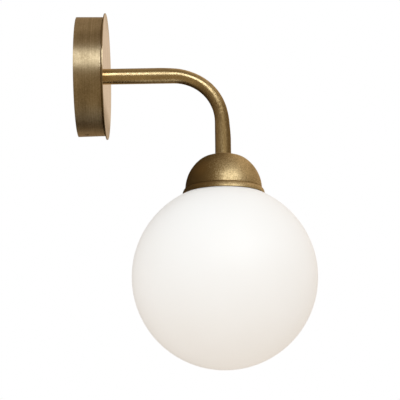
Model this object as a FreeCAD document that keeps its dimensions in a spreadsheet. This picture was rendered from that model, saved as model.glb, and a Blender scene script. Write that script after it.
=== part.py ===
"""Globe wall sconce: a round canopy, a bent tube arm and an opal glass ball under a spun brass dome.

Millimetres, +Z up. The origin is the centre of the canopy on the wall plane, the wall is the plane y = 0,
and the arm reaches out along -Y. Pieces on the wall are drawn in a frame whose local z runs out from the
wall and whose local y is up. Pieces on the leg are drawn round the leg's own axis, with z as it is here.
"""
import FreeCAD, Part
import math
import os

import Sketcher

Vector = FreeCAD.Vector

doc = FreeCAD.newDocument("GlobeWallSconce")

# ---------------------------------------------------------------------------------------------------------
# Driving sizes. Each is set once here, and every piece reads it from the sheet.
# ---------------------------------------------------------------------------------------------------------

DRIVING_SIZES = {
    # Canopy: a spun cup, open to the wall, with a flat disc clamped on its front.
    "cup_radius": 49.4,
    "cup_draft": 0.35,
    "cup_depth": 23.0,
    "cup_wall": 0.8,
    "cup_corner": 1.5,
    "disc_radius": 52.2,
    "disc_thickness": 1.0,
    "disc_edge": 0.35,
    # Wall bracket: a bent steel strap that carries the canopy by two side screws.
    "strap_width": 20.0,
    "strap_thickness": 1.5,
    "strap_bend": 3.0,
    "tab_length": 13.0,
    "tab_play": 0.3,
    "slot_spacing": 70.0,
    "slot_length": 12.0,
    "slot_width": 4.5,
    "cable_hole_radius": 5.0,
    "canopy_screw_radius": 2.0,
    "canopy_screw_length": 6.0,
    "canopy_screw_height": 8.0,
    "canopy_screw_socket": 2.0,
    "canopy_screw_socket_depth": 2.5,
    "tapping_play": 0.05,
    "clearing_play": 0.2,
    # Earthing point on the strap, with the lug that is crimped on its wire.
    "earth_screw_radius": 2.0,
    "earth_head_radius": 3.8,
    "earth_head_height": 2.4,
    "earth_place": 14.0,
    "lug_radius": 4.0,
    "lug_thickness": 0.8,
    "lug_turn": 40.0,
    "lug_barrel_radius": 1.9,
    "lug_barrel_length": 6.0,
    # Terminal block: three poles, each a brass clamp with two screws.
    "pole_pitch": 11.0,
    "pole_width": 8.0,
    "block_length": 14.0,
    "block_height": 12.0,
    "block_base": 3.5,
    "block_place": 19.0,
    "block_round": 2.5,
    "clamp_radius": 2.5,
    "clamp_bore": 1.3,
    "clamp_length": 13.0,
    "clamp_height": 6.0,
    "clamp_screw_radius": 1.4,
    "clamp_screw_length": 4.0,
    "clamp_screw_spacing": 6.6,
    "driver_hole_play": 0.3,
    "driver_slot_width": 0.5,
    "driver_slot_depth": 0.8,
    "block_screw_radius": 1.25,
    "block_screw_head_radius": 2.4,
    "block_screw_head_height": 1.8,
    # Arm: one tube, threaded inside at both ends for the hollow nipples.
    "tube_radius": 6.5,
    "arm_reach": 119.0,
    "bend_radius": 40.0,
    "leg_drop": 68.75,
    # Hollow nipples M10 x 1 with their nuts, toothed washers and plastic bushes.
    "nipple_radius": 5.0,
    "nipple_bore": 4.0,
    "nipple_grip": 10.0,
    "nipple_tail": 4.0,
    "nipple_chamfer": 0.6,
    "washer_ring": 6.4,
    "washer_radius": 7.6,
    "washer_tooth_width": 1.6,
    "washer_thickness": 0.8,
    "washer_teeth": 12.0,
    "nut_flats": 14.0,
    "nut_thickness": 3.0,
    "bush_bore": 2.9,
    "bush_flange_radius": 5.0,
    "bush_flange": 1.0,
    "bush_spigot": 4.0,
    # Dome: a spun cover with a blunt crown, a groove at its base and a flared lip over the glass.
    "dome_radius": 31.25,
    "dome_wall": 0.8,
    "dome_flat": 8.0,
    "dome_crown": 18.4,
    "dome_end": 1.2,
    "groove_depth": 0.28,
    "groove_height": 0.25,
    "shoulder_width": 1.35,
    "shoulder_height": 1.15,
    "lip_spread": 2.25,
    "lip_height": 4.1,
    "lip_flare": 7.0,
    # Gallery: the pressed ring inside the dome that the neck of the glass screws into.
    "gallery_plate": 14.0,
    "gallery_wall": 0.8,
    "gallery_foot": 1.2,
    "gallery_room": 2.55,
    # Glass: an opal ball with a threaded neck.
    "globe_radius": 75.0,
    "glass_wall": 2.8,
    "neck_wall": 3.0,
    "neck_height": 8.5,
    "neck_round": 0.6,
    "neck_play": 0.3,
    "seat_gap": 0.3,
    "gasket_thickness": 1.5,
    "gasket_inset": 0.4,
    # Lampholder for a small screw cap: cap, contact insert, sleeve, screw shell and centre contact.
    "holder_radius": 14.0,
    "holder_wall": 1.6,
    "holder_top_radius": 9.0,
    "holder_crown": 10.0,
    "holder_shoulder": 8.0,
    "holder_roof": 3.0,
    "holder_boss": 7.2,
    "holder_thread": 8.0,
    "holder_cap_height": 19.6,
    "spigot_height": 4.0,
    "spigot_wall": 1.5,
    "fit_play": 0.1,
    "insert_rise": 2.5,
    "insert_thickness": 8.0,
    "sleeve_length": 30.5,
    "sleeve_mouth": 9.2,
    "sleeve_mouth_depth": 4.5,
    "wire_spread": 6.0,
    "holder_screw_radius": 1.2,
    "holder_screw_head": 2.2,
    "holder_screw_head_height": 1.4,
    "holder_screw_length": 5.0,
    "holder_screw_offset": 4.2,
    "lock_screw_radius": 1.5,
    "lock_screw_length": 5.0,
    "lock_screw_drop": 5.5,
    "shell_wall": 0.4,
    "shell_length": 21.0,
    "shell_play": 0.2,
    "shell_window": 3.6,
    "contact_width": 3.0,
    "contact_thickness": 0.3,
    "contact_reach": 2.6,
    "contact_drop": 3.0,
    # Bulb: a small golf-ball lamp with a screw cap and upright filaments.
    "bulb_radius": 22.5,
    "bulb_length": 78.0,
    "bulb_glass": 0.8,
    "bulb_neck": 8.2,
    "bulb_fillet": 8.0,
    "tip_radius": 2.4,
    "tip_height": 1.5,
    "insulator_top": 4.8,
    "insulator_base": 6.2,
    "insulator_height": 3.0,
    "base_radius": 6.95,
    "base_wall": 0.4,
    "base_shoulder": 1.2,
    "base_thread": 16.0,
    "base_skirt": 8.5,
    "base_flare": 2.5,
    "base_height": 21.0,
    "stem_radius": 2.0,
    "stem_foot_height": 9.0,
    "stem_end_gap": 9.0,
    "filament_radius": 0.8,
    "filament_length": 26.0,
    "filament_ring": 7.5,
    "frame_wire": 0.35,
    "frame_collar": 1.0,
    # Insulated wires through the arm.
    "wire_radius": 1.0,
    "wire_offset": 1.3,
    "wire_entry": 4.5,
    "wire_lead": 2.5,
    "wire_bend": 5.0,
    "wire_dive": 7.0,
}

sizes = doc.addObject("Spreadsheet::Sheet", "Sizes")
for row, (alias, value) in enumerate(DRIVING_SIZES.items(), start=1):
    sizes.set(f"A{row}", alias)
    sizes.set(f"B{row}", str(value))
    sizes.setAlias(f"B{row}", alias)

# ---------------------------------------------------------------------------------------------------------
# Places worked out from the sizes. "Out" is the distance from the wall plane, and the rest are heights.
# ---------------------------------------------------------------------------------------------------------

DERIVED_PLACES = {
    "cup_front_radius": "Sizes.cup_radius - Sizes.cup_draft",
    "plate_hole": "Sizes.nipple_radius + Sizes.clearing_play",
    "thread_bore": "Sizes.nipple_radius + Sizes.tapping_play",
    "disc_front": "Sizes.cup_depth + Sizes.disc_thickness",
    "tab_reach": "sqrt((Sizes.cup_radius - Sizes.cup_draft - Sizes.cup_wall)^2"
                 " - (Sizes.strap_width / 2)^2) - Sizes.tab_play",
    "block_floor": "Sizes.strap_thickness",
    "block_top": "Sizes.strap_thickness + Sizes.block_height",
    "clamp_out": "Sizes.strap_thickness + Sizes.clamp_height",
    "clamp_screw_foot": "Places.clamp_out + Sizes.wire_radius + Sizes.tapping_play",
    "lug_out": "Sizes.strap_thickness + Sizes.lug_barrel_radius",
    "wall_washer_out": "Sizes.cup_depth - Sizes.cup_wall - Sizes.washer_thickness",
    "wall_nut_out": "Places.wall_washer_out - Sizes.nut_thickness",
    "wall_nipple_end": "Places.wall_nut_out - Sizes.nipple_tail",
    "wall_nipple_tip": "Places.disc_front + Sizes.nipple_grip",
    "dome_top": "-Sizes.leg_drop",
    "lamp_nipple_top": "Places.dome_top + Sizes.nipple_grip",
    "lamp_washer_top": "Places.dome_top - Sizes.dome_wall",
    "lamp_nut_top": "Places.lamp_washer_top - Sizes.washer_thickness",
    "gallery_top": "Places.lamp_nut_top - Sizes.nut_thickness",
    "holder_top": "Places.gallery_top - Sizes.gallery_wall",
    "lamp_nipple_end": "Places.holder_top - Sizes.holder_thread",
    "crown_joint": "Sizes.dome_flat * Sizes.dome_radius / (Sizes.dome_radius - Sizes.dome_crown)",
    "crown_rise": "sqrt(Sizes.dome_radius^2 - Places.crown_joint^2)",
    "inner_share": "(Sizes.dome_radius - Sizes.dome_wall) / Sizes.dome_radius",
    "dome_centre": "Places.dome_top - Sizes.dome_crown"
                   " - (Sizes.dome_radius - Sizes.dome_crown) * Places.crown_rise / Sizes.dome_radius",
    "dome_foot": "Places.dome_centre + Sizes.dome_end",
    "dome_foot_radius": "sqrt(Sizes.dome_radius^2 - Sizes.dome_end^2)",
    "groove_radius": "Places.dome_foot_radius - Sizes.groove_depth",
    "groove_low": "Places.dome_foot - Sizes.groove_height",
    "shoulder_radius": "Places.groove_radius + Sizes.shoulder_width",
    "shoulder_low": "Places.groove_low - Sizes.shoulder_height",
    "shoulder_inset": "Sizes.dome_wall * (sqrt(Sizes.shoulder_width^2 + Sizes.shoulder_height^2)"
                      " - Sizes.shoulder_height) / Sizes.shoulder_width",
    "lip_bottom": "Places.dome_centre - Sizes.lip_height",
    "lip_radius": "Sizes.dome_radius + Sizes.lip_spread",
    "lip_inside": "Places.lip_radius - Sizes.dome_wall",
    "skirt_radius": "Places.groove_radius - Sizes.dome_wall - Sizes.gallery_room",
    "skirt_inside": "Places.skirt_radius - Sizes.gallery_wall",
    "neck_radius": "Places.skirt_inside - Sizes.neck_play",
    "neck_bore": "Places.neck_radius - Sizes.neck_wall",
    "globe_centre": "Places.lip_bottom - Sizes.seat_gap - sqrt(Sizes.globe_radius^2 - Places.lip_inside^2)",
    "neck_base": "Places.globe_centre + sqrt(Sizes.globe_radius^2 - Places.neck_radius^2)",
    "neck_top": "Places.neck_base + Sizes.neck_height",
    "neck_mouth": "Places.globe_centre + sqrt((Sizes.globe_radius - Sizes.glass_wall)^2"
                  " - Places.neck_bore^2)",
    "gasket_top": "Places.neck_top + Sizes.gasket_thickness",
    "gallery_shoulder": "Places.gasket_top",
    "skirt_bottom": "Places.neck_base + Sizes.gallery_foot",
    "holder_inside": "Sizes.holder_radius - Sizes.holder_wall",
    "holder_joint": "Places.holder_top - Sizes.holder_cap_height",
    "spigot_radius": "Places.holder_inside - Sizes.fit_play",
    "insert_radius": "Places.spigot_radius - Sizes.spigot_wall - Sizes.fit_play",
    "insert_top": "Places.holder_joint + Sizes.insert_rise",
    "insert_bottom": "Places.insert_top - Sizes.insert_thickness",
    "sleeve_bottom": "Places.holder_joint - Sizes.sleeve_length",
    "shell_inside": "Sizes.base_radius + Sizes.shell_play",
    "shell_outside": "Places.shell_inside + Sizes.shell_wall",
    "sleeve_bore": "Places.shell_outside + Sizes.fit_play",
    "shell_bottom": "Places.insert_bottom - Sizes.shell_length",
    "contact_low": "Places.insert_bottom - Sizes.contact_drop",
    "bulb_tip": "Places.contact_low",
    "insulator_high": "Places.bulb_tip - Sizes.tip_height",
    "base_top": "Places.insulator_high - Sizes.insulator_height",
    "base_bottom": "Places.base_top - Sizes.base_height",
    "bulb_centre": "Places.bulb_tip - Sizes.bulb_length + Sizes.bulb_radius",
    "bulb_fillet_centre": "Places.bulb_centre + sqrt((Sizes.bulb_radius + Sizes.bulb_fillet)^2"
                          " - (Sizes.bulb_neck + Sizes.bulb_fillet)^2)",
    "bulb_share": "Sizes.bulb_radius / (Sizes.bulb_radius + Sizes.bulb_fillet)",
    "bulb_meet_radius": "(Sizes.bulb_neck + Sizes.bulb_fillet) * Places.bulb_share",
    "bulb_meet_height": "Places.bulb_centre + (Places.bulb_fillet_centre - Places.bulb_centre)"
                        " * Places.bulb_share",
    "bulb_inner_share": "(Sizes.bulb_radius - Sizes.bulb_glass) / Sizes.bulb_radius",
    "stem_top": "Places.base_bottom",
    "stem_bottom": "Places.bulb_centre - Sizes.bulb_radius + Sizes.stem_end_gap",
    "stem_foot": "Sizes.bulb_neck - Sizes.bulb_glass - Sizes.fit_play",
    "filament_low": "Places.stem_bottom + 2 * Sizes.frame_wire",
    "filament_high": "Places.filament_low + Sizes.filament_length",
}

places = doc.addObject("Spreadsheet::Sheet", "Places")
for row, (alias, formula) in enumerate(DERIVED_PLACES.items(), start=1):
    places.set(f"A{row}", alias)
    places.set(f"B{row}", "=" + formula.replace("Places.", ""))
    places.setAlias(f"B{row}", alias)
doc.recompute()


def number(expression):
    """The present value of an expression over the two sheets."""
    value = sizes.evalExpression(expression)
    return float(getattr(value, "Value", value))


# ---------------------------------------------------------------------------------------------------------
# How a piece is drawn: bodies, sketches and the four features that make most of the pieces.
# ---------------------------------------------------------------------------------------------------------

WALL = "wall"
LEG = "leg"
sub_parts = []


def set_in_frame(piece, frame):
    """Stands a piece in the wall's frame or on the leg's axis."""
    if frame == WALL:
        piece.Placement = FreeCAD.Placement(Vector(), FreeCAD.Rotation(Vector(1, 0, 0), 90))
    if frame == LEG:
        piece.Placement = FreeCAD.Placement(Vector(0, -number("Sizes.arm_reach"), 0), FreeCAD.Rotation())
        piece.setExpression(".Placement.Base.y", "-Sizes.arm_reach")


def new_body(label, frame):
    body = doc.addObject("PartDesign::Body", label)
    body.Label = label
    set_in_frame(body, frame)
    sub_parts.append(body)
    return body


def new_sketch(body, plane, height="0"):
    """A sketch on one of the body's own origin planes, or at a height above it."""
    sketch = body.newObject("Sketcher::SketchObject", body.Name + "_sketch")
    support = [item for item in body.Origin.OriginFeatures if item.Role == plane][0]
    sketch.AttachmentSupport = (support, [""])
    sketch.MapMode = "FlatFace"
    if height != "0":
        sketch.setExpression(".AttachmentOffset.Base.z", height)
    return sketch


def constrain(sketch, constraints):
    """Adds constraints, each with the expression that drives it, or None where it has no size."""
    first = sketch.ConstraintCount
    sketch.addConstraint([constraint for constraint, _ in constraints])
    for index, (_, expression) in enumerate(constraints, start=first):
        if expression is not None:
            sketch.setExpression(f"Constraints[{index}]", expression)


def pin_point(geometry, position, u, v):
    """The constraints that hold a point of a sketch at (u, v) from the sketch's origin."""
    held = []
    for kind, axis, expression in (("DistanceX", -2, u), ("DistanceY", -1, v)):
        if expression == "0":
            held.append((Sketcher.Constraint("PointOnObject", geometry, position, axis), None))
        else:
            distance = Sketcher.Constraint(kind, -1, 1, geometry, position, number(expression))
            held.append((distance, expression))
    return held


def arc_centre(start, end, radius, side):
    """The centre of the arc from start to end that lies to the left or the right of the way drawn."""
    chord = end - start
    rise = math.sqrt(max(radius ** 2 - (chord.Length / 2) ** 2, 0))
    across = Vector(-chord.y, chord.x, 0).normalize() * rise
    middle = (start + end) / 2
    return middle + across if side == "left" else middle - across


def draw(sketch, outline, closed=True):
    """Draws an outline. Each entry is the next corner: (u, v) after a straight edge, or
    (u, v, radius, side) after an arc whose centre is on that side. All are expressions.
    A closed outline's first edge comes from its last corner, and an open one starts at its first."""
    corners = [Vector(number(entry[0]), number(entry[1]), 0) for entry in outline]
    drawn = list(enumerate(outline))[0 if closed else 1:]
    first = sketch.GeometryCount
    ends = []
    constraints = []
    for index, entry in drawn:
        start, end = corners[index - 1], corners[index]
        edge = first + len(ends)
        if len(entry) == 2:
            sketch.addGeometry(Part.LineSegment(start, end), False)
            ends.append((edge, 1, 2))
            continue
        radius, side = entry[2:]
        centre = arc_centre(start, end, number(radius), side)
        reach = (end - centre).Length
        begin = math.atan2(start.y - centre.y, start.x - centre.x)
        finish = math.atan2(end.y - centre.y, end.x - centre.x)
        if side == "right":
            begin, finish = finish, begin
        if finish <= begin:
            finish += 2 * math.pi
        circle = Part.Circle(centre, Vector(0, 0, 1), reach)
        sketch.addGeometry(Part.ArcOfCircle(circle, begin, finish), False)
        ends.append((edge, 1, 2) if side == "left" else (edge, 2, 1))
        constraints.append((Sketcher.Constraint("Radius", edge, reach), radius))
    if not closed:
        constraints += pin_point(ends[0][0], ends[0][1], outline[0][0], outline[0][1])
    for place, (index, entry) in enumerate(drawn):
        edge, _, last = ends[place]
        constraints += pin_point(edge, last, entry[0], entry[1])
        if closed or place + 1 < len(ends):
            following, begins, _ = ends[(place + 1) % len(ends)]
            constraints.append((Sketcher.Constraint("Coincident", edge, last, following, begins), None))
    constrain(sketch, constraints)


def draw_circle(sketch, u, v, radius):
    circle = Part.Circle(Vector(number(u), number(v), 0), Vector(0, 0, 1), number(radius))
    index = sketch.addGeometry(circle, False)
    constrain(sketch, [(Sketcher.Constraint("Radius", index, number(radius)), radius)])
    constrain(sketch, pin_point(index, 3, u, v))


def draw_box(sketch, left, right, low, high):
    draw(sketch, [(left, low), (right, low), (right, high), (left, high)])


def turn(body, outline, feature="PartDesign::Revolution"):
    """Turns an outline of (radius, height) about the body's own z axis."""
    sketch = new_sketch(body, "XZ_Plane")
    draw(sketch, outline)
    turned = body.newObject(feature, body.Name + "_turned")
    turned.Profile = sketch
    turned.ReferenceAxis = (sketch, ["V_Axis"])
    turned.Angle = 360
    return turned


def turned_piece(label, frame, outline):
    body = new_body(label, frame)
    turn(body, outline)
    return body


def pad(body, sketch, length, symmetric=False):
    feature = body.newObject("PartDesign::Pad", body.Name + "_pad")
    feature.Profile = sketch
    feature.Length = number(length)
    feature.setExpression("Length", length)
    feature.SideType = "Symmetric" if symmetric else "One side"
    return feature


def pocket(body, sketch, length):
    """Cuts downwards from a sketch, against its normal."""
    feature = body.newObject("PartDesign::Pocket", body.Name + "_pocket")
    feature.Profile = sketch
    feature.Length = number(length)
    feature.setExpression("Length", length)
    return feature


def drill_through(body, sketch):
    """Cuts both ways from a sketch, right through the body."""
    feature = body.newObject("PartDesign::Pocket", body.Name + "_through")
    feature.Profile = sketch
    feature.Type = "ThroughAll"
    feature.SideType = "Symmetric"
    return feature


# ---------------------------------------------------------------------------------------------------------
# Canopy
# ---------------------------------------------------------------------------------------------------------

# The cup is spun from sheet with a slight draft, and its two side screws stand above and below.
cup = turned_piece("canopy_cup", WALL, [
    ("Sizes.cup_radius", "0"),
    ("Places.cup_front_radius", "Sizes.cup_depth - Sizes.cup_corner"),
    ("Places.cup_front_radius - Sizes.cup_corner", "Sizes.cup_depth", "Sizes.cup_corner", "left"),
    ("Places.plate_hole", "Sizes.cup_depth"),
    ("Places.plate_hole", "Sizes.cup_depth - Sizes.cup_wall"),
    ("Places.cup_front_radius - Sizes.cup_corner", "Sizes.cup_depth - Sizes.cup_wall"),
    ("Places.cup_front_radius - Sizes.cup_wall", "Sizes.cup_depth - Sizes.cup_corner",
     "Sizes.cup_corner - Sizes.cup_wall", "right"),
    ("Sizes.cup_radius - Sizes.cup_wall", "0"),
])
cup_screw_holes = new_sketch(cup, "XZ_Plane")
draw_circle(cup_screw_holes, "0", "Sizes.canopy_screw_height",
            "Sizes.canopy_screw_radius + Sizes.clearing_play")
drill_through(cup, cup_screw_holes)

# The disc is a blanked plate whose edge is eased on both faces.
turned_piece("canopy_disc", WALL, [
    ("Places.plate_hole", "Sizes.cup_depth"),
    ("Sizes.disc_radius - Sizes.disc_edge", "Sizes.cup_depth"),
    ("Sizes.disc_radius", "Sizes.cup_depth + Sizes.disc_edge", "Sizes.disc_edge", "left"),
    ("Sizes.disc_radius", "Places.disc_front - Sizes.disc_edge"),
    ("Sizes.disc_radius - Sizes.disc_edge", "Places.disc_front", "Sizes.disc_edge", "left"),
    ("Places.plate_hole", "Places.disc_front"),
])

# ---------------------------------------------------------------------------------------------------------
# Wall bracket
# ---------------------------------------------------------------------------------------------------------

# One strip, bent twice. Its side outline is drawn from the wall face round both tabs and back inside.
bracket = new_body("wall_bracket", WALL)
strip = new_sketch(bracket, "YZ_Plane")
inner_bend = "Sizes.strap_bend - Sizes.strap_thickness"
tab_inside = "Places.tab_reach - Sizes.strap_thickness"
draw(strip, [
    ("Places.tab_reach - Sizes.strap_bend", "0"),
    ("Places.tab_reach", "Sizes.strap_bend", "Sizes.strap_bend", "left"),
    ("Places.tab_reach", "Sizes.tab_length"),
    (tab_inside, "Sizes.tab_length"),
    (tab_inside, "Sizes.strap_bend"),
    ("Places.tab_reach - Sizes.strap_bend", "Sizes.strap_thickness", inner_bend, "right"),
    ("-(Places.tab_reach - Sizes.strap_bend)", "Sizes.strap_thickness"),
    (f"-({tab_inside})", "Sizes.strap_bend", inner_bend, "right"),
    (f"-({tab_inside})", "Sizes.tab_length"),
    ("-Places.tab_reach", "Sizes.tab_length"),
    ("-Places.tab_reach", "Sizes.strap_bend"),
    ("-(Places.tab_reach - Sizes.strap_bend)", "0", "Sizes.strap_bend", "left"),
])
pad(bracket, strip, "Sizes.strap_width", symmetric=True)


def draw_slot(sketch, middle, length, width):
    """A slot that runs along the sketch's v axis, with its centre at (0, middle)."""
    half = f"({length} - {width}) / 2"
    ends = [f"{middle} - {half}", f"{middle} + {half}"]
    radius = number(width) / 2
    low, high = (number(end) for end in ends)
    up = Vector(0, 0, 1)
    first = sketch.GeometryCount
    sketch.addGeometry([
        Part.ArcOfCircle(Part.Circle(Vector(0, low, 0), up, radius), math.pi, 2 * math.pi),
        Part.LineSegment(Vector(radius, low, 0), Vector(radius, high, 0)),
        Part.ArcOfCircle(Part.Circle(Vector(0, high, 0), up, radius), 0, math.pi),
        Part.LineSegment(Vector(-radius, high, 0), Vector(-radius, low, 0)),
    ], False)
    joints = [(0, 2, 1, 1), (1, 2, 2, 1), (2, 2, 3, 1), (3, 2, 0, 1)]
    constraints = [
        (Sketcher.Constraint("Tangent", first + a, end_a, first + b, end_b), None)
        for a, end_a, b, end_b in joints
    ]
    constraints.append((Sketcher.Constraint("Radius", first, radius), f"{width} / 2"))
    constraints += pin_point(first, 3, "0", ends[0])
    constraints += pin_point(first + 2, 3, "0", ends[1])
    constrain(sketch, constraints)


strap_holes = new_sketch(bracket, "XY_Plane")
draw_slot(strap_holes, "Sizes.slot_spacing / 2", "Sizes.slot_length", "Sizes.slot_width")
draw_slot(strap_holes, "-Sizes.slot_spacing / 2", "Sizes.slot_length", "Sizes.slot_width")
draw_circle(strap_holes, "0", "0", "Sizes.cable_hole_radius")
draw_circle(strap_holes, "0", "Sizes.earth_place", "Sizes.earth_screw_radius + Sizes.tapping_play")
draw_circle(strap_holes, "Sizes.pole_pitch / 2", "-Sizes.block_place",
            "Sizes.block_screw_radius + Sizes.tapping_play")
drill_through(bracket, strap_holes)
tab_holes = new_sketch(bracket, "XZ_Plane")
draw_circle(tab_holes, "0", "Sizes.canopy_screw_height",
            "Sizes.canopy_screw_radius + Sizes.tapping_play")
drill_through(bracket, tab_holes)

# Two headless screws end flush with the cup, one above and one below.
canopy_screws = new_body("canopy_screws", WALL)
cup_at_screw = ("(Sizes.cup_radius - Sizes.cup_draft * Sizes.canopy_screw_height"
                " / (Sizes.cup_depth - Sizes.cup_corner))")
for side in ("-", ""):
    shank = new_sketch(canopy_screws, "XZ_Plane", f"{side}{cup_at_screw}")
    draw_circle(shank, "0", "Sizes.canopy_screw_height", "Sizes.canopy_screw_radius")
    screw = pad(canopy_screws, shank, "Sizes.canopy_screw_length")
    screw.Reversed = side == ""
for side in ("-", ""):
    socket = new_sketch(canopy_screws, "XZ_Plane", f"{side}{cup_at_screw}")
    half = "Sizes.canopy_screw_socket / 2"
    corner = "Sizes.canopy_screw_socket / 2 / cos(30)"
    mid = "Sizes.canopy_screw_height"
    draw(socket, [
        (corner, mid),
        (f"{corner} / 2", f"{mid} + {half}"),
        (f"-{corner} / 2", f"{mid} + {half}"),
        (f"-{corner}", mid),
        (f"-{corner} / 2", f"{mid} - {half}"),
        (f"{corner} / 2", f"{mid} - {half}"),
    ])
    recess = pocket(canopy_screws, socket, "Sizes.canopy_screw_socket_depth")
    recess.Reversed = side == "-"

# ---------------------------------------------------------------------------------------------------------
# Earthing point
# ---------------------------------------------------------------------------------------------------------

earth_screw = new_body("earth_screw", WALL)
earth_shank = new_sketch(earth_screw, "XY_Plane", "Sizes.strap_thickness + Sizes.lug_thickness")
draw_circle(earth_shank, "0", "Sizes.earth_place", "Sizes.earth_screw_radius")
earth_pad = pad(earth_screw, earth_shank, "Sizes.strap_thickness + Sizes.lug_thickness - Sizes.tapping_play")
earth_pad.Reversed = True
earth_head = new_sketch(earth_screw, "XY_Plane", "Sizes.strap_thickness + Sizes.lug_thickness")
draw_circle(earth_head, "0", "Sizes.earth_place", "Sizes.earth_head_radius")
pad(earth_screw, earth_head, "Sizes.earth_head_height")
earth_slot = new_sketch(earth_screw, "XY_Plane",
                        "Sizes.strap_thickness + Sizes.lug_thickness + Sizes.earth_head_height")
draw_box(earth_slot, "-Sizes.earth_head_radius", "Sizes.earth_head_radius",
         "Sizes.earth_place - Sizes.driver_slot_width", "Sizes.earth_place + Sizes.driver_slot_width")
pocket(earth_screw, earth_slot, "Sizes.driver_slot_depth")


# The lug is a flat ring under the screw's head, with a barrel crimped on the earth wire.
earth_lug = new_body("earth_lug", None)
lug_ring = new_sketch(earth_lug, "XY_Plane")
draw_circle(lug_ring, "0", "0", "Sizes.lug_radius")
draw_circle(lug_ring, "0", "0", "Sizes.earth_screw_radius + Sizes.clearing_play")
pad(earth_lug, lug_ring, "Sizes.lug_thickness")
lug_barrel = new_sketch(earth_lug, "XZ_Plane", "Sizes.earth_head_radius + Sizes.clearing_play")
draw_circle(lug_barrel, "0", "Sizes.lug_barrel_radius", "Sizes.lug_barrel_radius")
pad(earth_lug, lug_barrel, "Sizes.lug_barrel_length")
lug_tongue = new_sketch(earth_lug, "XY_Plane")
draw_box(lug_tongue, "-Sizes.lug_barrel_radius", "Sizes.lug_barrel_radius",
         "-(Sizes.earth_head_radius + Sizes.lug_barrel_radius)", "-Sizes.lug_radius * 0.75")
pad(earth_lug, lug_tongue, "Sizes.lug_thickness")
lug_bore = new_sketch(earth_lug, "XZ_Plane",
                      "Sizes.earth_head_radius + Sizes.clearing_play + Sizes.lug_barrel_length")
draw_circle(lug_bore, "0", "Sizes.lug_barrel_radius", "Sizes.wire_radius + Sizes.tapping_play")
pocket(earth_lug, lug_bore, "Sizes.lug_barrel_length - Sizes.lug_thickness")
lug_turned = FreeCAD.Rotation(Vector(0, 0, 1), number("Sizes.lug_turn"))
earth_lug.Placement = FreeCAD.Placement(
    Vector(0, -number("Sizes.strap_thickness"), number("Sizes.earth_place")),
    FreeCAD.Rotation(Vector(1, 0, 0), 90) * lug_turned,
)

# ---------------------------------------------------------------------------------------------------------
# Terminal block
# ---------------------------------------------------------------------------------------------------------

POLES = (-1, 0, 1)
CLAMP_ENDS = (-1, 1)


def pole_x(pole):
    return f"{pole} * Sizes.pole_pitch" if pole else "0"


def clamp_screw_y(end):
    return f"-Sizes.block_place + {end} * Sizes.clamp_screw_spacing / 2"


# The housing has one rounded tower for each pole on a common base.
block = new_body("terminal_block", WALL)
block_low = "-Sizes.block_place - Sizes.block_length / 2"
block_high = "-Sizes.block_place + Sizes.block_length / 2"
for pole in POLES:
    tower = new_sketch(block, "YZ_Plane", pole_x(pole))
    draw(tower, [
        (block_high, "Places.block_floor"),
        (block_high, "Places.block_top - Sizes.block_round"),
        (f"{block_high} - Sizes.block_round", "Places.block_top", "Sizes.block_round", "left"),
        (f"{block_low} + Sizes.block_round", "Places.block_top"),
        (block_low, "Places.block_top - Sizes.block_round", "Sizes.block_round", "left"),
        (block_low, "Places.block_floor"),
    ])
    pad(block, tower, "Sizes.pole_width", symmetric=True)
base = new_sketch(block, "XY_Plane", "Places.block_floor")
draw_box(base, "-Sizes.pole_pitch", "Sizes.pole_pitch", block_low, block_high)
pad(block, base, "Sizes.block_base")
clamp_bores = new_sketch(block, "XZ_Plane")
for pole in POLES:
    draw_circle(clamp_bores, pole_x(pole), "Places.clamp_out", "Sizes.clamp_radius + Sizes.fit_play")
drill_through(block, clamp_bores)
driver_holes = new_sketch(block, "XY_Plane", "Places.block_top")
for pole in POLES:
    for end in CLAMP_ENDS:
        draw_circle(driver_holes, pole_x(pole), clamp_screw_y(end),
                    "Sizes.clamp_screw_radius + Sizes.driver_hole_play")
pocket(block, driver_holes, "Places.block_top - Places.clamp_out")
for side in CLAMP_ENDS:
    head_recess = new_sketch(block, "XY_Plane", "Places.block_top")
    draw_circle(head_recess, f"{side} * Sizes.pole_pitch / 2", "-Sizes.block_place",
                "Sizes.block_screw_head_radius + Sizes.clearing_play")
    pocket(block, head_recess, "Sizes.block_height - Sizes.block_base")
fixing_holes = new_sketch(block, "XY_Plane")
for side in CLAMP_ENDS:
    draw_circle(fixing_holes, f"{side} * Sizes.pole_pitch / 2", "-Sizes.block_place",
                "Sizes.block_screw_radius + Sizes.clearing_play")
drill_through(block, fixing_holes)

# Each brass clamp is a barrel along the wire, tapped from the front for its two screws.
clamps = new_body("terminal_clamps", WALL)
barrels = new_sketch(clamps, "XZ_Plane", "Sizes.block_place")
for pole in POLES:
    draw_circle(barrels, pole_x(pole), "Places.clamp_out", "Sizes.clamp_radius")
    draw_circle(barrels, pole_x(pole), "Places.clamp_out", "Sizes.clamp_bore")
pad(clamps, barrels, "Sizes.clamp_length", symmetric=True)
tapped_holes = new_sketch(clamps, "XY_Plane", "Places.block_top")
for pole in POLES:
    for end in CLAMP_ENDS:
        draw_circle(tapped_holes, pole_x(pole), clamp_screw_y(end),
                    "Sizes.clamp_screw_radius + Sizes.tapping_play")
pocket(clamps, tapped_holes, "Places.block_top - Places.clamp_out")

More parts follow.
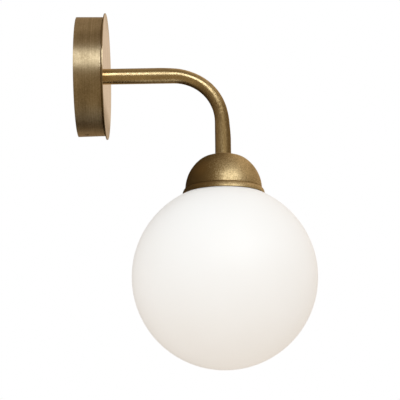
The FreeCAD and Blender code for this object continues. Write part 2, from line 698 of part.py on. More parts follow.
# The clamp screws are headless, with a driver slot, and stop on the wires.
clamp_screws = new_body("terminal_screws", WALL)
screw_blanks = new_sketch(clamp_screws, "XY_Plane", "Places.clamp_screw_foot")
for pole in POLES:
    for end in CLAMP_ENDS:
        draw_circle(screw_blanks, pole_x(pole), clamp_screw_y(end), "Sizes.clamp_screw_radius")
pad(clamp_screws, screw_blanks, "Sizes.clamp_screw_length")
screw_slots = new_sketch(clamp_screws, "XY_Plane", "Places.clamp_screw_foot + Sizes.clamp_screw_length")
for end in CLAMP_ENDS:
    draw_box(screw_slots, "-Sizes.pole_pitch - Sizes.pole_width / 2",
             "Sizes.pole_pitch + Sizes.pole_width / 2",
             f"{clamp_screw_y(end)} - Sizes.driver_slot_width / 2",
             f"{clamp_screw_y(end)} + Sizes.driver_slot_width / 2")
pocket(clamp_screws, screw_slots, "Sizes.driver_slot_depth")

# One screw between two poles holds the block on the strap.
block_screw = new_body("block_screw", WALL)
block_screw_head_out = "Places.block_floor + Sizes.block_base"
block_shank = new_sketch(block_screw, "XY_Plane", block_screw_head_out)
draw_circle(block_shank, "Sizes.pole_pitch / 2", "-Sizes.block_place", "Sizes.block_screw_radius")
pad(block_screw, block_shank, f"{block_screw_head_out} - Sizes.tapping_play").Reversed = True
block_head = new_sketch(block_screw, "XY_Plane", block_screw_head_out)
draw_circle(block_head, "Sizes.pole_pitch / 2", "-Sizes.block_place", "Sizes.block_screw_head_radius")
pad(block_screw, block_head, "Sizes.block_screw_head_height")
block_screw_slot = new_sketch(block_screw, "XY_Plane",
                              f"{block_screw_head_out} + Sizes.block_screw_head_height")
draw_box(block_screw_slot, "Sizes.pole_pitch / 2 - Sizes.block_screw_head_radius",
         "Sizes.pole_pitch / 2 + Sizes.block_screw_head_radius",
         "-Sizes.block_place - Sizes.driver_slot_width / 2",
         "-Sizes.block_place + Sizes.driver_slot_width / 2")
pocket(block_screw, block_screw_slot, "Sizes.driver_slot_depth")

# ---------------------------------------------------------------------------------------------------------
# Arm
# ---------------------------------------------------------------------------------------------------------

# The tube runs straight out from the disc, turns down in one bend and ends on the dome's flat top.
arm = new_body("arm_tube", None)
arm.setExpression(".Placement.Base.y", "-Places.disc_front")
arm_length = "(Sizes.arm_reach - Places.disc_front)"
arm_line = new_sketch(arm, "YZ_Plane")
draw(arm_line, [
    ("0", "0"),
    (f"Sizes.bend_radius - {arm_length}", "0"),
    (f"-{arm_length}", "-Sizes.bend_radius", "Sizes.bend_radius", "left"),
    (f"-{arm_length}", "-Sizes.leg_drop"),
], closed=False)
arm_section = new_sketch(arm, "XZ_Plane")
draw_circle(arm_section, "0", "0", "Sizes.tube_radius")
draw_circle(arm_section, "0", "0", "Places.thread_bore")
arm_pipe = arm.newObject("PartDesign::AdditivePipe", "arm_tube_pipe")
arm_pipe.Profile = arm_section
arm_pipe.Spine = (arm_line, [])

# ---------------------------------------------------------------------------------------------------------
# Nipples, washers, nuts and bushes, one set at the wall and one at the lamp
# ---------------------------------------------------------------------------------------------------------


def nipple(label, frame, low, high):
    """An all-thread hollow nipple, chamfered at both ends."""
    turned_piece(label, frame, [
        ("Sizes.nipple_bore", low),
        ("Sizes.nipple_radius - Sizes.nipple_chamfer", low),
        ("Sizes.nipple_radius", f"{low} + Sizes.nipple_chamfer"),
        ("Sizes.nipple_radius", f"{high} - Sizes.nipple_chamfer"),
        ("Sizes.nipple_radius - Sizes.nipple_chamfer", high),
        ("Sizes.nipple_bore", high),
    ])


def toothed_washer(label, frame, low):
    """A flat ring with a row of teeth round its outside."""
    body = new_body(label, frame)
    ring = new_sketch(body, "XY_Plane", low)
    draw_circle(ring, "0", "0", "Sizes.washer_ring")
    draw_circle(ring, "0", "0", "Places.plate_hole")
    pad(body, ring, "Sizes.washer_thickness")
    tooth = new_sketch(body, "XY_Plane", low)
    draw_box(tooth, "(Places.plate_hole + Sizes.washer_ring) / 2", "Sizes.washer_radius",
             "-Sizes.washer_tooth_width / 2", "Sizes.washer_tooth_width / 2")
    tooth_pad = pad(body, tooth, "Sizes.washer_thickness")
    teeth = body.newObject("PartDesign::PolarPattern", label + "_teeth")
    teeth.Originals = [tooth_pad]
    teeth.Axis = (tooth, ["N_Axis"])
    teeth.Angle = 360
    teeth.setExpression("Occurrences", "Sizes.washer_teeth")
    body.Tip = teeth


def hexagon_nut(label, frame, low):
    """A hexagon nut whose corners are turned off at 30 degrees on both faces."""
    body = new_body(label, frame)
    blank = new_sketch(body, "XY_Plane", low)
    corner = "Sizes.nut_flats / 2 / cos(30)"
    draw(blank, [(f"{corner} * cos({60 * step})", f"{corner} * sin({60 * step})")
                 for step in range(6)])
    draw_circle(blank, "0", "0", "Places.thread_bore")
    pad(body, blank, "Sizes.nut_thickness")
    high = f"{low} + Sizes.nut_thickness"
    flat = "Sizes.nut_flats / 2"
    for face, into in ((low, "+"), (high, "-")):
        turn(body, [
            (flat, face),
            ("Sizes.nut_flats", face),
            ("Sizes.nut_flats", f"{face} {into} {flat} * tan(30)"),
        ], feature="PartDesign::Groove")


def wire_bush(label, frame, end, out):
    """A plastic bush pushed into a nipple's end, whose flange lies beyond that end."""
    face = f"{end} {out} Sizes.bush_flange"
    inside = f"{end} {'-' if out == '+' else '+'} Sizes.bush_spigot"
    turned_piece(label, frame, [
        ("Sizes.bush_bore", face),
        ("Sizes.bush_flange_radius", face),
        ("Sizes.bush_flange_radius", end),
        ("Sizes.nipple_bore - Sizes.tapping_play", end),
        ("Sizes.nipple_bore - Sizes.tapping_play", inside),
        ("Sizes.bush_bore", inside),
    ])


nipple("wall_nipple", WALL, "Places.wall_nipple_end", "Places.wall_nipple_tip")
toothed_washer("wall_lock_washer", WALL, "Places.wall_washer_out")
hexagon_nut("wall_nut", WALL, "Places.wall_nut_out")
wire_bush("wall_wire_bush", WALL, "Places.wall_nipple_end", "-")
nipple("lamp_nipple", LEG, "Places.lamp_nipple_end", "Places.lamp_nipple_top")
toothed_washer("lamp_lock_washer", LEG, "Places.lamp_nut_top")
hexagon_nut("lamp_nut", LEG, "Places.gallery_top")
wire_bush("lamp_wire_bush", LEG, "Places.lamp_nipple_end", "-")

# ---------------------------------------------------------------------------------------------------------
# Dome, gallery and glass
# ---------------------------------------------------------------------------------------------------------

# The dome is a spun half ball with a blunt crown. Below its groove a shoulder flares out over the glass.
turned_piece("dome_cover", LEG, [
    ("Places.plate_hole", "Places.dome_top"),
    ("Sizes.dome_flat", "Places.dome_top"),
    ("Places.crown_joint", "Places.dome_centre + Places.crown_rise", "Sizes.dome_crown", "right"),
    ("Places.dome_foot_radius", "Places.dome_foot", "Sizes.dome_radius", "right"),
    ("Places.groove_radius", "Places.groove_low"),
    ("Places.shoulder_radius", "Places.shoulder_low"),
    ("Places.lip_radius", "Places.lip_bottom", "Sizes.lip_flare", "right"),
    ("Places.lip_inside", "Places.lip_bottom"),
    ("Places.shoulder_radius - Sizes.dome_wall", "Places.shoulder_low - Places.shoulder_inset",
     "Sizes.lip_flare - Sizes.dome_wall", "left"),
    ("Places.groove_radius - Sizes.dome_wall", "Places.groove_low - Places.shoulder_inset"),
    ("Places.dome_foot_radius - Sizes.dome_wall", "Places.dome_foot"),
    ("Places.crown_joint * Places.inner_share",
     "Places.dome_centre + Places.crown_rise * Places.inner_share",
     "Sizes.dome_radius - Sizes.dome_wall", "left"),
    ("Sizes.dome_flat", "Places.dome_top - Sizes.dome_wall", "Sizes.dome_crown - Sizes.dome_wall", "left"),
    ("Places.plate_hole", "Places.dome_top - Sizes.dome_wall"),
])

# The gallery is pressed as a stepped bowl: a plate on the nipple, a cone, a shoulder and a skirt.
turned_piece("gallery_ring", LEG, [
    ("Places.plate_hole", "Places.gallery_top"),
    ("Sizes.gallery_plate", "Places.gallery_top"),
    ("Places.neck_bore + Sizes.gallery_wall", "Places.gallery_shoulder + Sizes.gallery_wall"),
    ("Places.skirt_radius", "Places.gallery_shoulder + Sizes.gallery_wall"),
    ("Places.skirt_radius", "Places.skirt_bottom"),
    ("Places.skirt_inside", "Places.skirt_bottom"),
    ("Places.skirt_inside", "Places.gallery_shoulder"),
    ("Places.neck_bore", "Places.gallery_shoulder"),
    ("Sizes.gallery_plate - Sizes.gallery_wall", "Places.holder_top"),
    ("Places.plate_hole", "Places.holder_top"),
])

turned_piece("globe_gasket", LEG, [
    ("Places.neck_bore + Sizes.gasket_inset", "Places.neck_top"),
    ("Places.neck_radius - Sizes.gasket_inset", "Places.neck_top"),
    ("Places.neck_radius - Sizes.gasket_inset", "Places.gasket_top"),
    ("Places.neck_bore + Sizes.gasket_inset", "Places.gasket_top"),
])

# The ball is blown with a short neck, whose fire-polished rim bears on the gasket.
globe_inside = "(Sizes.globe_radius - Sizes.glass_wall)"
turned_piece("glass_globe", LEG, [
    ("Places.neck_radius - Sizes.neck_round", "Places.neck_top"),
    ("Places.neck_radius", "Places.neck_top - Sizes.neck_round", "Sizes.neck_round", "right"),
    ("Places.neck_radius", "Places.neck_base"),
    ("0", "Places.globe_centre - Sizes.globe_radius", "Sizes.globe_radius", "right"),
    ("0", f"Places.globe_centre - {globe_inside}"),
    ("Places.neck_bore", "Places.neck_mouth", globe_inside, "left"),
    ("Places.neck_bore", "Places.neck_top - Sizes.neck_round"),
    ("Places.neck_bore + Sizes.neck_round", "Places.neck_top", "Sizes.neck_round", "right"),
])

# ---------------------------------------------------------------------------------------------------------
# Lampholder
# ---------------------------------------------------------------------------------------------------------

# The cap screws on the nipple under the gallery and closes over the terminals.
holder_cap = turned_piece("lampholder_cap", LEG, [
    ("Places.thread_bore", "Places.holder_top"),
    ("Sizes.holder_top_radius", "Places.holder_top"),
    ("Sizes.holder_radius", "Places.holder_top - Sizes.holder_shoulder", "Sizes.holder_crown", "right"),
    ("Sizes.holder_radius", "Places.holder_joint"),
    ("Places.holder_inside", "Places.holder_joint"),
    ("Places.holder_inside", "Places.holder_top - Sizes.holder_shoulder"),
    ("Sizes.holder_boss", "Places.holder_top - Sizes.holder_roof"),
    ("Sizes.holder_boss", "Places.lamp_nipple_end"),
    ("Places.thread_bore", "Places.lamp_nipple_end"),
])
lock_height = "Places.holder_top - Sizes.lock_screw_drop"
lock_hole = new_sketch(holder_cap, "YZ_Plane", "Sizes.holder_radius")
draw_circle(lock_hole, "0", lock_height, "Sizes.lock_screw_radius + Sizes.tapping_play")
pocket(holder_cap, lock_hole, "Sizes.holder_radius - Sizes.nipple_bore")

lock_screw = new_body("holder_lock_screw", LEG)
lock_blank = new_sketch(lock_screw, "YZ_Plane", "Places.thread_bore")
draw_circle(lock_blank, "0", lock_height, "Sizes.lock_screw_radius")
pad(lock_screw, lock_blank, "Sizes.lock_screw_length")
lock_slot = new_sketch(lock_screw, "YZ_Plane", "Places.thread_bore + Sizes.lock_screw_length")
draw_box(lock_slot, "-Sizes.driver_slot_width / 2", "Sizes.driver_slot_width / 2",
         f"{lock_height} - Sizes.lock_screw_radius", f"{lock_height} + Sizes.lock_screw_radius")
pocket(lock_screw, lock_slot, "Sizes.driver_slot_depth")

# The insert carries both contacts, with a wire hole and a screw for each.
insert = turned_piece("contact_insert", LEG, [
    ("0", "Places.insert_bottom"),
    ("Places.insert_radius", "Places.insert_bottom"),
    ("Places.insert_radius", "Places.insert_top"),
    ("0", "Places.insert_top"),
])
wire_holes = new_sketch(insert, "XY_Plane", "Places.insert_top")
screw_holes = new_sketch(insert, "XY_Plane", "Places.insert_top")
for side in CLAMP_ENDS:
    spread = f"{side} * Sizes.wire_spread"
    draw_circle(wire_holes, spread, "0", "Sizes.wire_radius + Sizes.fit_play")
    draw_circle(screw_holes, spread, "Sizes.holder_screw_offset",
                "Sizes.holder_screw_radius + Sizes.tapping_play")
pocket(insert, wire_holes, "Sizes.wire_entry + Sizes.fit_play")
pocket(insert, screw_holes, "Sizes.holder_screw_length + Sizes.fit_play")

holder_screws = new_body("holder_screws", LEG)
holder_shanks = new_sketch(holder_screws, "XY_Plane", "Places.insert_top")
holder_heads = new_sketch(holder_screws, "XY_Plane", "Places.insert_top")
holder_slots = new_sketch(holder_screws, "XY_Plane", "Places.insert_top + Sizes.holder_screw_head_height")
for side in CLAMP_ENDS:
    spread = f"{side} * Sizes.wire_spread"
    draw_circle(holder_shanks, spread, "Sizes.holder_screw_offset", "Sizes.holder_screw_radius")
    draw_circle(holder_heads, spread, "Sizes.holder_screw_offset", "Sizes.holder_screw_head")
    draw_box(holder_slots, f"{spread} - Sizes.holder_screw_head", f"{spread} + Sizes.holder_screw_head",
             "Sizes.holder_screw_offset - Sizes.driver_slot_width / 2",
             "Sizes.holder_screw_offset + Sizes.driver_slot_width / 2")
pad(holder_screws, holder_shanks, "Sizes.holder_screw_length").Reversed = True
pad(holder_screws, holder_heads, "Sizes.holder_screw_head_height")
pocket(holder_screws, holder_slots, "Sizes.driver_slot_depth")

# The sleeve's spigot pushes into the cap, and the insert rests on its inner ledge.
insert_seat = "Places.insert_radius + Sizes.fit_play"
turned_piece("lampholder_sleeve", LEG, [
    ("Sizes.holder_radius", "Places.holder_joint"),
    ("Sizes.holder_radius", "Places.sleeve_bottom"),
    ("Sizes.sleeve_mouth", "Places.sleeve_bottom"),
    ("Places.sleeve_bore", "Places.sleeve_bottom + Sizes.sleeve_mouth_depth"),
    ("Places.sleeve_bore", "Places.insert_bottom"),
    (insert_seat, "Places.insert_bottom"),
    (insert_seat, "Places.holder_joint + Sizes.spigot_height"),
    ("Places.spigot_radius", "Places.holder_joint + Sizes.spigot_height"),
    ("Places.spigot_radius", "Places.holder_joint"),
])

# The screw shell hangs from the insert by its web, which leaves a window for the centre contact.
turned_piece("screw_shell", LEG, [
    ("Sizes.shell_window", "Places.insert_bottom"),
    ("Places.shell_outside", "Places.insert_bottom"),
    ("Places.shell_outside", "Places.shell_bottom"),
    ("Places.shell_inside", "Places.shell_bottom"),
    ("Places.shell_inside", "Places.insert_bottom - Sizes.shell_wall"),
    ("Sizes.shell_window", "Places.insert_bottom - Sizes.shell_wall"),
])

# The centre contact is a strip folded back under itself, so that it springs on the bulb's tip.
contact = new_body("centre_contact", LEG)
strip_outline = new_sketch(contact, "XZ_Plane")
contact_inner_low = "Places.contact_low + Sizes.contact_thickness"
contact_inner_high = "Places.insert_bottom - Sizes.contact_thickness"
contact_fold = "Sizes.contact_drop / 2"
draw(strip_outline, [
    ("Sizes.contact_reach", "Places.insert_bottom"),
    (f"-Sizes.contact_reach + {contact_fold}", "Places.insert_bottom"),
    ("-Sizes.contact_reach", f"Places.insert_bottom - {contact_fold}", contact_fold, "left"),
    (f"-Sizes.contact_reach + {contact_fold}", "Places.contact_low", contact_fold, "left"),
    ("Sizes.contact_reach", "Places.contact_low"),
    ("Sizes.contact_reach", contact_inner_low),
    (f"-Sizes.contact_reach + {contact_fold}", contact_inner_low),
    ("-Sizes.contact_reach + Sizes.contact_thickness", f"Places.insert_bottom - {contact_fold}",
     f"{contact_fold} - Sizes.contact_thickness", "right"),
    (f"-Sizes.contact_reach + {contact_fold}", contact_inner_high,
     f"{contact_fold} - Sizes.contact_thickness", "right"),
    ("Sizes.contact_reach", contact_inner_high),
])
pad(contact, strip_outline, "Sizes.contact_width", symmetric=True)

# ---------------------------------------------------------------------------------------------------------
# Bulb
# ---------------------------------------------------------------------------------------------------------

turned_piece("bulb_tip", LEG, [
    ("0", "Places.insulator_high"),
    ("Sizes.tip_radius", "Places.insulator_high"),
    ("0", "Places.bulb_tip",
     "(Sizes.tip_radius^2 + Sizes.tip_height^2) / (2 * Sizes.tip_height)", "left"),
])
turned_piece("bulb_insulator", LEG, [
    ("0", "Places.base_top"),
    ("Sizes.insulator_base", "Places.base_top"),
    ("Sizes.insulator_top", "Places.insulator_high"),
    ("0", "Places.insulator_high"),
])

thread_high = "Places.base_top - Sizes.base_shoulder"
thread_low = f"{thread_high} - Sizes.base_thread"
turned_piece("bulb_base", LEG, [
    ("Sizes.insulator_base", "Places.base_top"),
    ("Sizes.base_radius", thread_high),
    ("Sizes.base_radius", thread_low),
    ("Sizes.base_skirt", f"{thread_low} - Sizes.base_flare"),
    ("Sizes.base_skirt", "Places.base_bottom"),
    ("Sizes.base_skirt - Sizes.base_wall", "Places.base_bottom"),
    ("Sizes.base_skirt - Sizes.base_wall", f"{thread_low} - Sizes.base_flare"),
    ("Sizes.base_radius - Sizes.base_wall", thread_low),
    ("Sizes.base_radius - Sizes.base_wall", thread_high),
    ("Sizes.insulator_base - Sizes.base_wall", "Places.base_top"),
])

# The envelope is a ball on a short neck. Its inside follows the outside at the glass's thickness.
bulb_foot = "Places.bulb_centre - Sizes.bulb_radius"
turned_piece("bulb_glass", LEG, [
    ("Sizes.bulb_neck", "Places.base_bottom"),
    ("Sizes.bulb_neck", "Places.bulb_fillet_centre"),
    ("Places.bulb_meet_radius", "Places.bulb_meet_height", "Sizes.bulb_fillet", "left"),
    ("0", bulb_foot, "Sizes.bulb_radius", "right"),
    ("0", f"{bulb_foot} + Sizes.bulb_glass"),
    ("Places.bulb_meet_radius * Places.bulb_inner_share",
     "Places.bulb_centre + (Places.bulb_meet_height - Places.bulb_centre) * Places.bulb_inner_share",
     "Sizes.bulb_radius - Sizes.bulb_glass", "left"),
    ("Sizes.bulb_neck - Sizes.bulb_glass", "Places.bulb_fillet_centre",
     "Sizes.bulb_fillet + Sizes.bulb_glass", "right"),
    ("Sizes.bulb_neck - Sizes.bulb_glass", "Places.base_bottom"),
])

turned_piece("bulb_stem", LEG, [
    ("0", "Places.stem_top"),
    ("Places.stem_foot", "Places.stem_top"),
    ("Sizes.stem_radius", "Places.stem_top - Sizes.stem_foot_height", "Sizes.stem_foot_height * 1.5", "left"),
    ("Sizes.stem_radius", "Places.stem_bottom"),
    ("0", "Places.stem_bottom"),
])

# Four upright filaments stand between two crosses of stiff wire, each on a collar round the stem.
filaments = new_body("bulb_filaments", LEG)
filament_feet = new_sketch(filaments, "XY_Plane", "Places.filament_low")
for u, v in (("Sizes.filament_ring", "0"), ("-Sizes.filament_ring", "0"),
             ("0", "Sizes.filament_ring"), ("0", "-Sizes.filament_ring")):
    draw_circle(filament_feet, u, v, "Sizes.filament_radius")
pad(filaments, filament_feet, "Sizes.filament_length")

wires_frame = new_body("filament_frame", LEG)
arm_end = "Sizes.filament_ring + Sizes.filament_radius"
for level in ("Places.stem_bottom", "Places.filament_high"):
    collar = new_sketch(wires_frame, "XY_Plane", level)
    draw_circle(collar, "0", "0", "Sizes.stem_radius + Sizes.frame_collar")
    pad(wires_frame, collar, "2 * Sizes.frame_wire")
    for across in (True, False):
        cross = new_sketch(wires_frame, "XY_Plane", level)
        long_way = (f"-({arm_end})", arm_end)
        short_way = ("-Sizes.frame_wire", "Sizes.frame_wire")
        draw_box(cross, *(long_way + short_way if across else short_way + long_way))
        pad(wires_frame, cross, "2 * Sizes.frame_wire")
stem_hole = new_sketch(wires_frame, "XY_Plane")
draw_circle(stem_hole, "0", "0", "Sizes.stem_radius")
drill_through(wires_frame, stem_hole)

doc.recompute()

# ---------------------------------------------------------------------------------------------------------
# Wires: round sections swept along straight runs joined by tangent arcs
# ---------------------------------------------------------------------------------------------------------


def rounded_route(points, radii):
    """The path through the points, each inner corner rounded by its own radius, and its length."""
    edges = []
    start = points[0]
    for before, corner, after, radius in zip(points, points[1:], points[2:], radii):
        arriving = (before - corner).normalize()
        leaving = (after - corner).normalize()
        half = arriving.getAngle(leaving) / 2
        setback = radius / math.tan(half)
        enter, leave = corner + arriving * setback, corner + leaving * setback
        inward = (arriving + leaving).normalize()
        middle = corner + inward * (radius / math.sin(half) - radius)
        edges += [Part.LineSegment(start, enter).toShape(), Part.Arc(enter, middle, leave).toShape()]
        start = leave
    edges.append(Part.LineSegment(start, points[-1]).toShape())
    return Part.Wire(edges), sum(edge.Length for edge in edges)


def compare_volume(label, shape, area, length, radii):
    """Prints a swept piece's volume beside its section times its length, and its bend radii."""
    print(f"{label}: length {length:.1f}, volume {shape.Volume:.1f} of {area * length:.1f}, radii {radii}")


def wire(label, points, bends):
    """An insulated wire, whose bends have the usual radius where none of their own is given."""
    corners = range(1, len(points) - 1)
    radii = [bends.get(index, number("Sizes.wire_bend")) for index in corners]
    path, length = rounded_route(points, radii)
    radius = number("Sizes.wire_radius")
    along = (points[1] - points[0]).normalize()
    section = Part.Wire([Part.makeCircle(radius, points[0], along)])
    piece = doc.addObject("Part::Feature", label)
    piece.Label = label
    piece.Shape = path.makePipeShell([section], True, False)
    sub_parts.append(piece)
    compare_volume(label, piece.Shape, math.pi * radius ** 2, length, radii)


clamp_out = number("Places.clamp_out")
clamp_mouth = -number("Sizes.block_place") + number("Sizes.clamp_length") / 2
wire_start = clamp_mouth - number("Sizes.wire_entry")
wire_rise = clamp_mouth + number("Sizes.wire_lead")
reach = number("Sizes.arm_reach")
bush_end = number("Places.lamp_nipple_end") - number("Sizes.bush_flange")
insert_top = number("Places.insert_top")
for label, pole, side in (("live_wire", -1, -1), ("neutral_wire", 0, 1)):
    x_pole = pole * number("Sizes.pole_pitch")
    x_tube = side * number("Sizes.wire_offset")
    x_insert = side * number("Sizes.wire_spread")
    wire(label, [
        Vector(x_pole, -clamp_out, wire_start),
        Vector(x_pole, -clamp_out, wire_rise),
        Vector(x_tube, -clamp_out, 0),
        Vector(x_tube, -reach, 0),
        Vector(x_tube, -reach, bush_end - number("Sizes.wire_lead") / 2),
        Vector(x_insert, -reach, insert_top + number("Sizes.wire_lead")),
        Vector(x_insert, -reach, insert_top - number("Sizes.wire_entry")),
    ], {3: number("Sizes.bend_radius")})

# The earth wire rises from its pole and turns into the lug's barrel, in line with it.
lug_angle = math.radians(number("Sizes.lug_turn"))
lug_way = Vector(math.sin(lug_angle), 0, -math.cos(lug_angle))
lug_centre = Vector(0, -number("Places.lug_out"), number("Sizes.earth_place"))
barrel_start = number("Sizes.earth_head_radius") + number("Sizes.clearing_play")
barrel_end = barrel_start + number("Sizes.lug_barrel_length")
wire("earth_wire", [
    Vector(number("Sizes.pole_pitch"), -clamp_out, wire_start),
    Vector(number("Sizes.pole_pitch"), -clamp_out, wire_rise + number("Sizes.wire_lead")),
    lug_centre + lug_way * (barrel_end + number("Sizes.wire_dive")),
    lug_centre + lug_way * (barrel_start + number("Sizes.lug_thickness") + number("Sizes.tapping_play")),
], {})

arm_straights = number(arm_length) + number("Sizes.leg_drop") - 2 * number("Sizes.bend_radius")
compare_volume(
    "arm_tube", arm.Shape,
    math.pi * (number("Sizes.tube_radius") ** 2 - number("Places.thread_bore") ** 2),
    arm_straights + number("Sizes.bend_radius") * math.pi / 2,
    [number("Sizes.bend_radius")],
)

# ---------------------------------------------------------------------------------------------------------
# Check everything, then write one file for each sub-part
# ---------------------------------------------------------------------------------------------------------

for item in doc.Objects:
    for state in ("Invalid", "Error"):
        if state in item.State:
            raise RuntimeError(f"{item.Label} is {state}")
for piece in sub_parts:
    if piece.Shape.isNull() or not piece.Shape.isValid() or piece.Shape.Volume <= 0:
        raise RuntimeError(f"{piece.Label} has no sound shape")
print(f"{len(sub_parts)} sub-parts, {sum(len(piece.Shape.Solids) for piece in sub_parts)} solids")

os.makedirs("parts", exist_ok=True)
for piece in sub_parts:
    piece.Shape.exportStep(f"parts/{piece.Label}.step")
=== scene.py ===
"""Looks for a globe wall sconce: a brushed brass canopy, a bent tube arm, a spun dome and an opal glass ball.

Metres, +Z up. The wall is the plane y = 0 and the arm reaches out along -Y. The leg axis is the vertical line
down the middle of the tube's lower end, which the dome, the lampholder, the bulb and the glass stand round.
"""
import math

import bpy
import numpy as np
from mathutils import Matrix, Vector


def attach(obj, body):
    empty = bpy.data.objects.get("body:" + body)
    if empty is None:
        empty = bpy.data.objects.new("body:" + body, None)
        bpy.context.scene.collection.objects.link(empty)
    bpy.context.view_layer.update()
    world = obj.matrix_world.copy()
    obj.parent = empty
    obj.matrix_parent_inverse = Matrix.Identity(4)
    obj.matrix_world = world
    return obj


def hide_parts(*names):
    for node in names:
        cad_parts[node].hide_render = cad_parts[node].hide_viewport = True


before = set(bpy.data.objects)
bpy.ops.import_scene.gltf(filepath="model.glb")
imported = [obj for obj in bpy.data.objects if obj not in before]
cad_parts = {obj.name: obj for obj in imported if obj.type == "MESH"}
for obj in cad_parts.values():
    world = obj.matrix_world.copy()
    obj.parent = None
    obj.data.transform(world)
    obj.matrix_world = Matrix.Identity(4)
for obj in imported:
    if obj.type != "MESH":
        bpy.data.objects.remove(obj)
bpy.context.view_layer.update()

# =========================================================================================================
# Camera, studio and light
# The lamp is photographed from its left side and a little below, with a long lens, in front of plain white.
# A wide softbox, a little high and to the right of the camera, lights every surface. Polished surfaces also
# see a stronger one in almost the same place, and a weak, warm one far to the right.
# =========================================================================================================

PHOTO_SIDE = 400
FOCAL_LENGTH_PIXELS = 1961.1
SENSOR_WIDTH = 36.0
CAMERA_DISTANCE = 1.6
CAMERA_REACH = 30
CAMERA_AZIMUTH = math.radians(-88.80)
CAMERA_ELEVATION = math.radians(-12.43)
CAMERA_ROLL = math.radians(-0.64)
ARM_MIDDLE = Vector((0, -0.070, -0.080))
RIGHT_OF_THE_ARM = 0.02964
BELOW_THE_ARM = 0.02464


def aim(azimuth, elevation):
    """The unit vector at these angles. Azimuth 0 is straight out from the wall, elevation 0 is level."""
    return Vector((math.sin(azimuth) * math.cos(elevation), -math.cos(azimuth) * math.cos(elevation),
                   math.sin(elevation)))


towards_camera = aim(CAMERA_AZIMUTH, CAMERA_ELEVATION)
level_right = Vector((0, 0, 1)).cross(towards_camera).normalized()
level_up = towards_camera.cross(level_right)
image_right = level_right * math.cos(CAMERA_ROLL) + level_up * math.sin(CAMERA_ROLL)
image_up = level_up * math.cos(CAMERA_ROLL) - level_right * math.sin(CAMERA_ROLL)
looked_at = ARM_MIDDLE + level_right * RIGHT_OF_THE_ARM - level_up * BELOW_THE_ARM

camera_data = bpy.data.cameras.new("camera")
camera_data.sensor_width = SENSOR_WIDTH
camera_data.lens = FOCAL_LENGTH_PIXELS / PHOTO_SIDE * SENSOR_WIDTH
camera_data.clip_end = CAMERA_REACH
camera = bpy.data.objects.new("camera", camera_data)
camera.matrix_world = Matrix.Translation(looked_at + towards_camera * CAMERA_DISTANCE) @ Matrix((
    image_right, image_up, towards_camera)).transposed().to_4x4()
bpy.context.scene.collection.objects.link(camera)
bpy.context.scene.camera = camera
bpy.context.scene.view_settings.view_transform = "Standard"

LIT_POINT = Vector((0, -0.09, -0.09))


def softbox(name, side, up, away, width, height, radiance, tint=(1, 1, 1), matte=True):
    """A rectangular softbox that faces the lamp. side is degrees right of the camera, up is above level.

    A rectangular light's energy is 4 * radiance * area. Where matte is false, only polished surfaces show it.
    """
    direction = aim(CAMERA_AZIMUTH + math.radians(side), math.radians(up))
    data = bpy.data.lights.new(name, "AREA")
    data.shape = "RECTANGLE"
    data.size = width
    data.size_y = height
    data.color = tint
    data.energy = 4 * radiance * width * height
    box = bpy.data.objects.new(name, data)
    box.matrix_world = Matrix.Translation(LIT_POINT + direction * away) \
        @ direction.to_track_quat("Z", "Y").to_matrix().to_4x4()
    box.visible_diffuse = matte
    bpy.context.scene.collection.objects.link(box)


softbox("key_softbox", side=22, up=24.5, away=1.6, width=1.7, height=0.90, radiance=0.57)
softbox("key_core", side=20, up=24.5, away=1.5, width=1.4, height=0.80, radiance=2.65,
        tint=(0.82, 0.90, 1.0), matte=False)
softbox("side_softbox", side=88, up=48, away=1.8, width=0.9, height=0.9, radiance=0.42,
        tint=(1.0, 0.87, 0.72), matte=False)


def shade(tree, kind, inputs=(), **settings):
    """A shader node. inputs maps a socket's name or number to a value or to another node's output."""
    made = tree.nodes.new(kind)
    for key, value in settings.items():
        setattr(made, key, value)
    for key, value in dict(inputs).items():
        if isinstance(value, bpy.types.NodeSocket):
            tree.links.new(value, made.inputs[key])
        else:
            made.inputs[key].default_value = value
    return made


def blended(tree, factor, first, second):
    """The colour between first and second."""
    return shade(tree, "ShaderNodeMix", {"Factor": factor, 6: first, 7: second}, data_type="RGBA").outputs[2]


def ranged(tree, value, low, high, from_low=0.3, from_high=0.7):
    """The value, taken from its own range to low..high and held there. By default its range is a noise's."""
    return shade(tree, "ShaderNodeMapRange", {
        "Value": value, "From Min": from_low, "From Max": from_high, "To Min": low, "To Max": high,
    }).outputs[0]


def component(tree, vector, axis):
    """The X, Y or Z component of a vector."""
    return shade(tree, "ShaderNodeSeparateXYZ", {0: vector}).outputs[axis]


def product(tree, first, second):
    """The first value times the second."""
    return shade(tree, "ShaderNodeMath", {0: first, 1: second}, operation="MULTIPLY").outputs[0]


WHITE = (1, 1, 1, 1)
CAMERA_SIDE_LIGHT = (0.975, 1.045, 1.105, 1)
FAR_SIDE_LIGHT = (0.86, 0.74, 0.63, 1)
FRONT_STRENGTH = (0.87, 0.84, 0.81)
WALL_STRENGTH = 1.08
DARK_FLOOR = (0.055, 0.036, 0.018, 1)

world = bpy.data.worlds.new("studio")
bpy.context.scene.world = world
world.use_nodes = True
tree = world.node_tree
tree.nodes.clear()

# How far a ray goes away from the camera, towards the wall, and up.
way = shade(tree, "ShaderNodeTexCoord").outputs["Generated"]
onward, wallward, upward = (component(tree, way, axis) for axis in "XYZ")

# Matt surfaces see an even light. It is cooler and stronger from the camera's side, warmer and weaker from
# the far side, and weaker from the front than from the wall.
across = blended(tree, ranged(tree, onward, 0, 1, -1, 1), CAMERA_SIDE_LIGHT, FAR_SIDE_LIGHT)
strength = shade(tree, "ShaderNodeCombineXYZ", {
    axis: ranged(tree, wallward, low, WALL_STRENGTH, -1, 1) for axis, low in zip("XYZ", FRONT_STRENGTH)})
even_light = shade(tree, "ShaderNodeVectorMath", {
    0: across, 1: strength.outputs[0]}, operation="MULTIPLY").outputs[0]

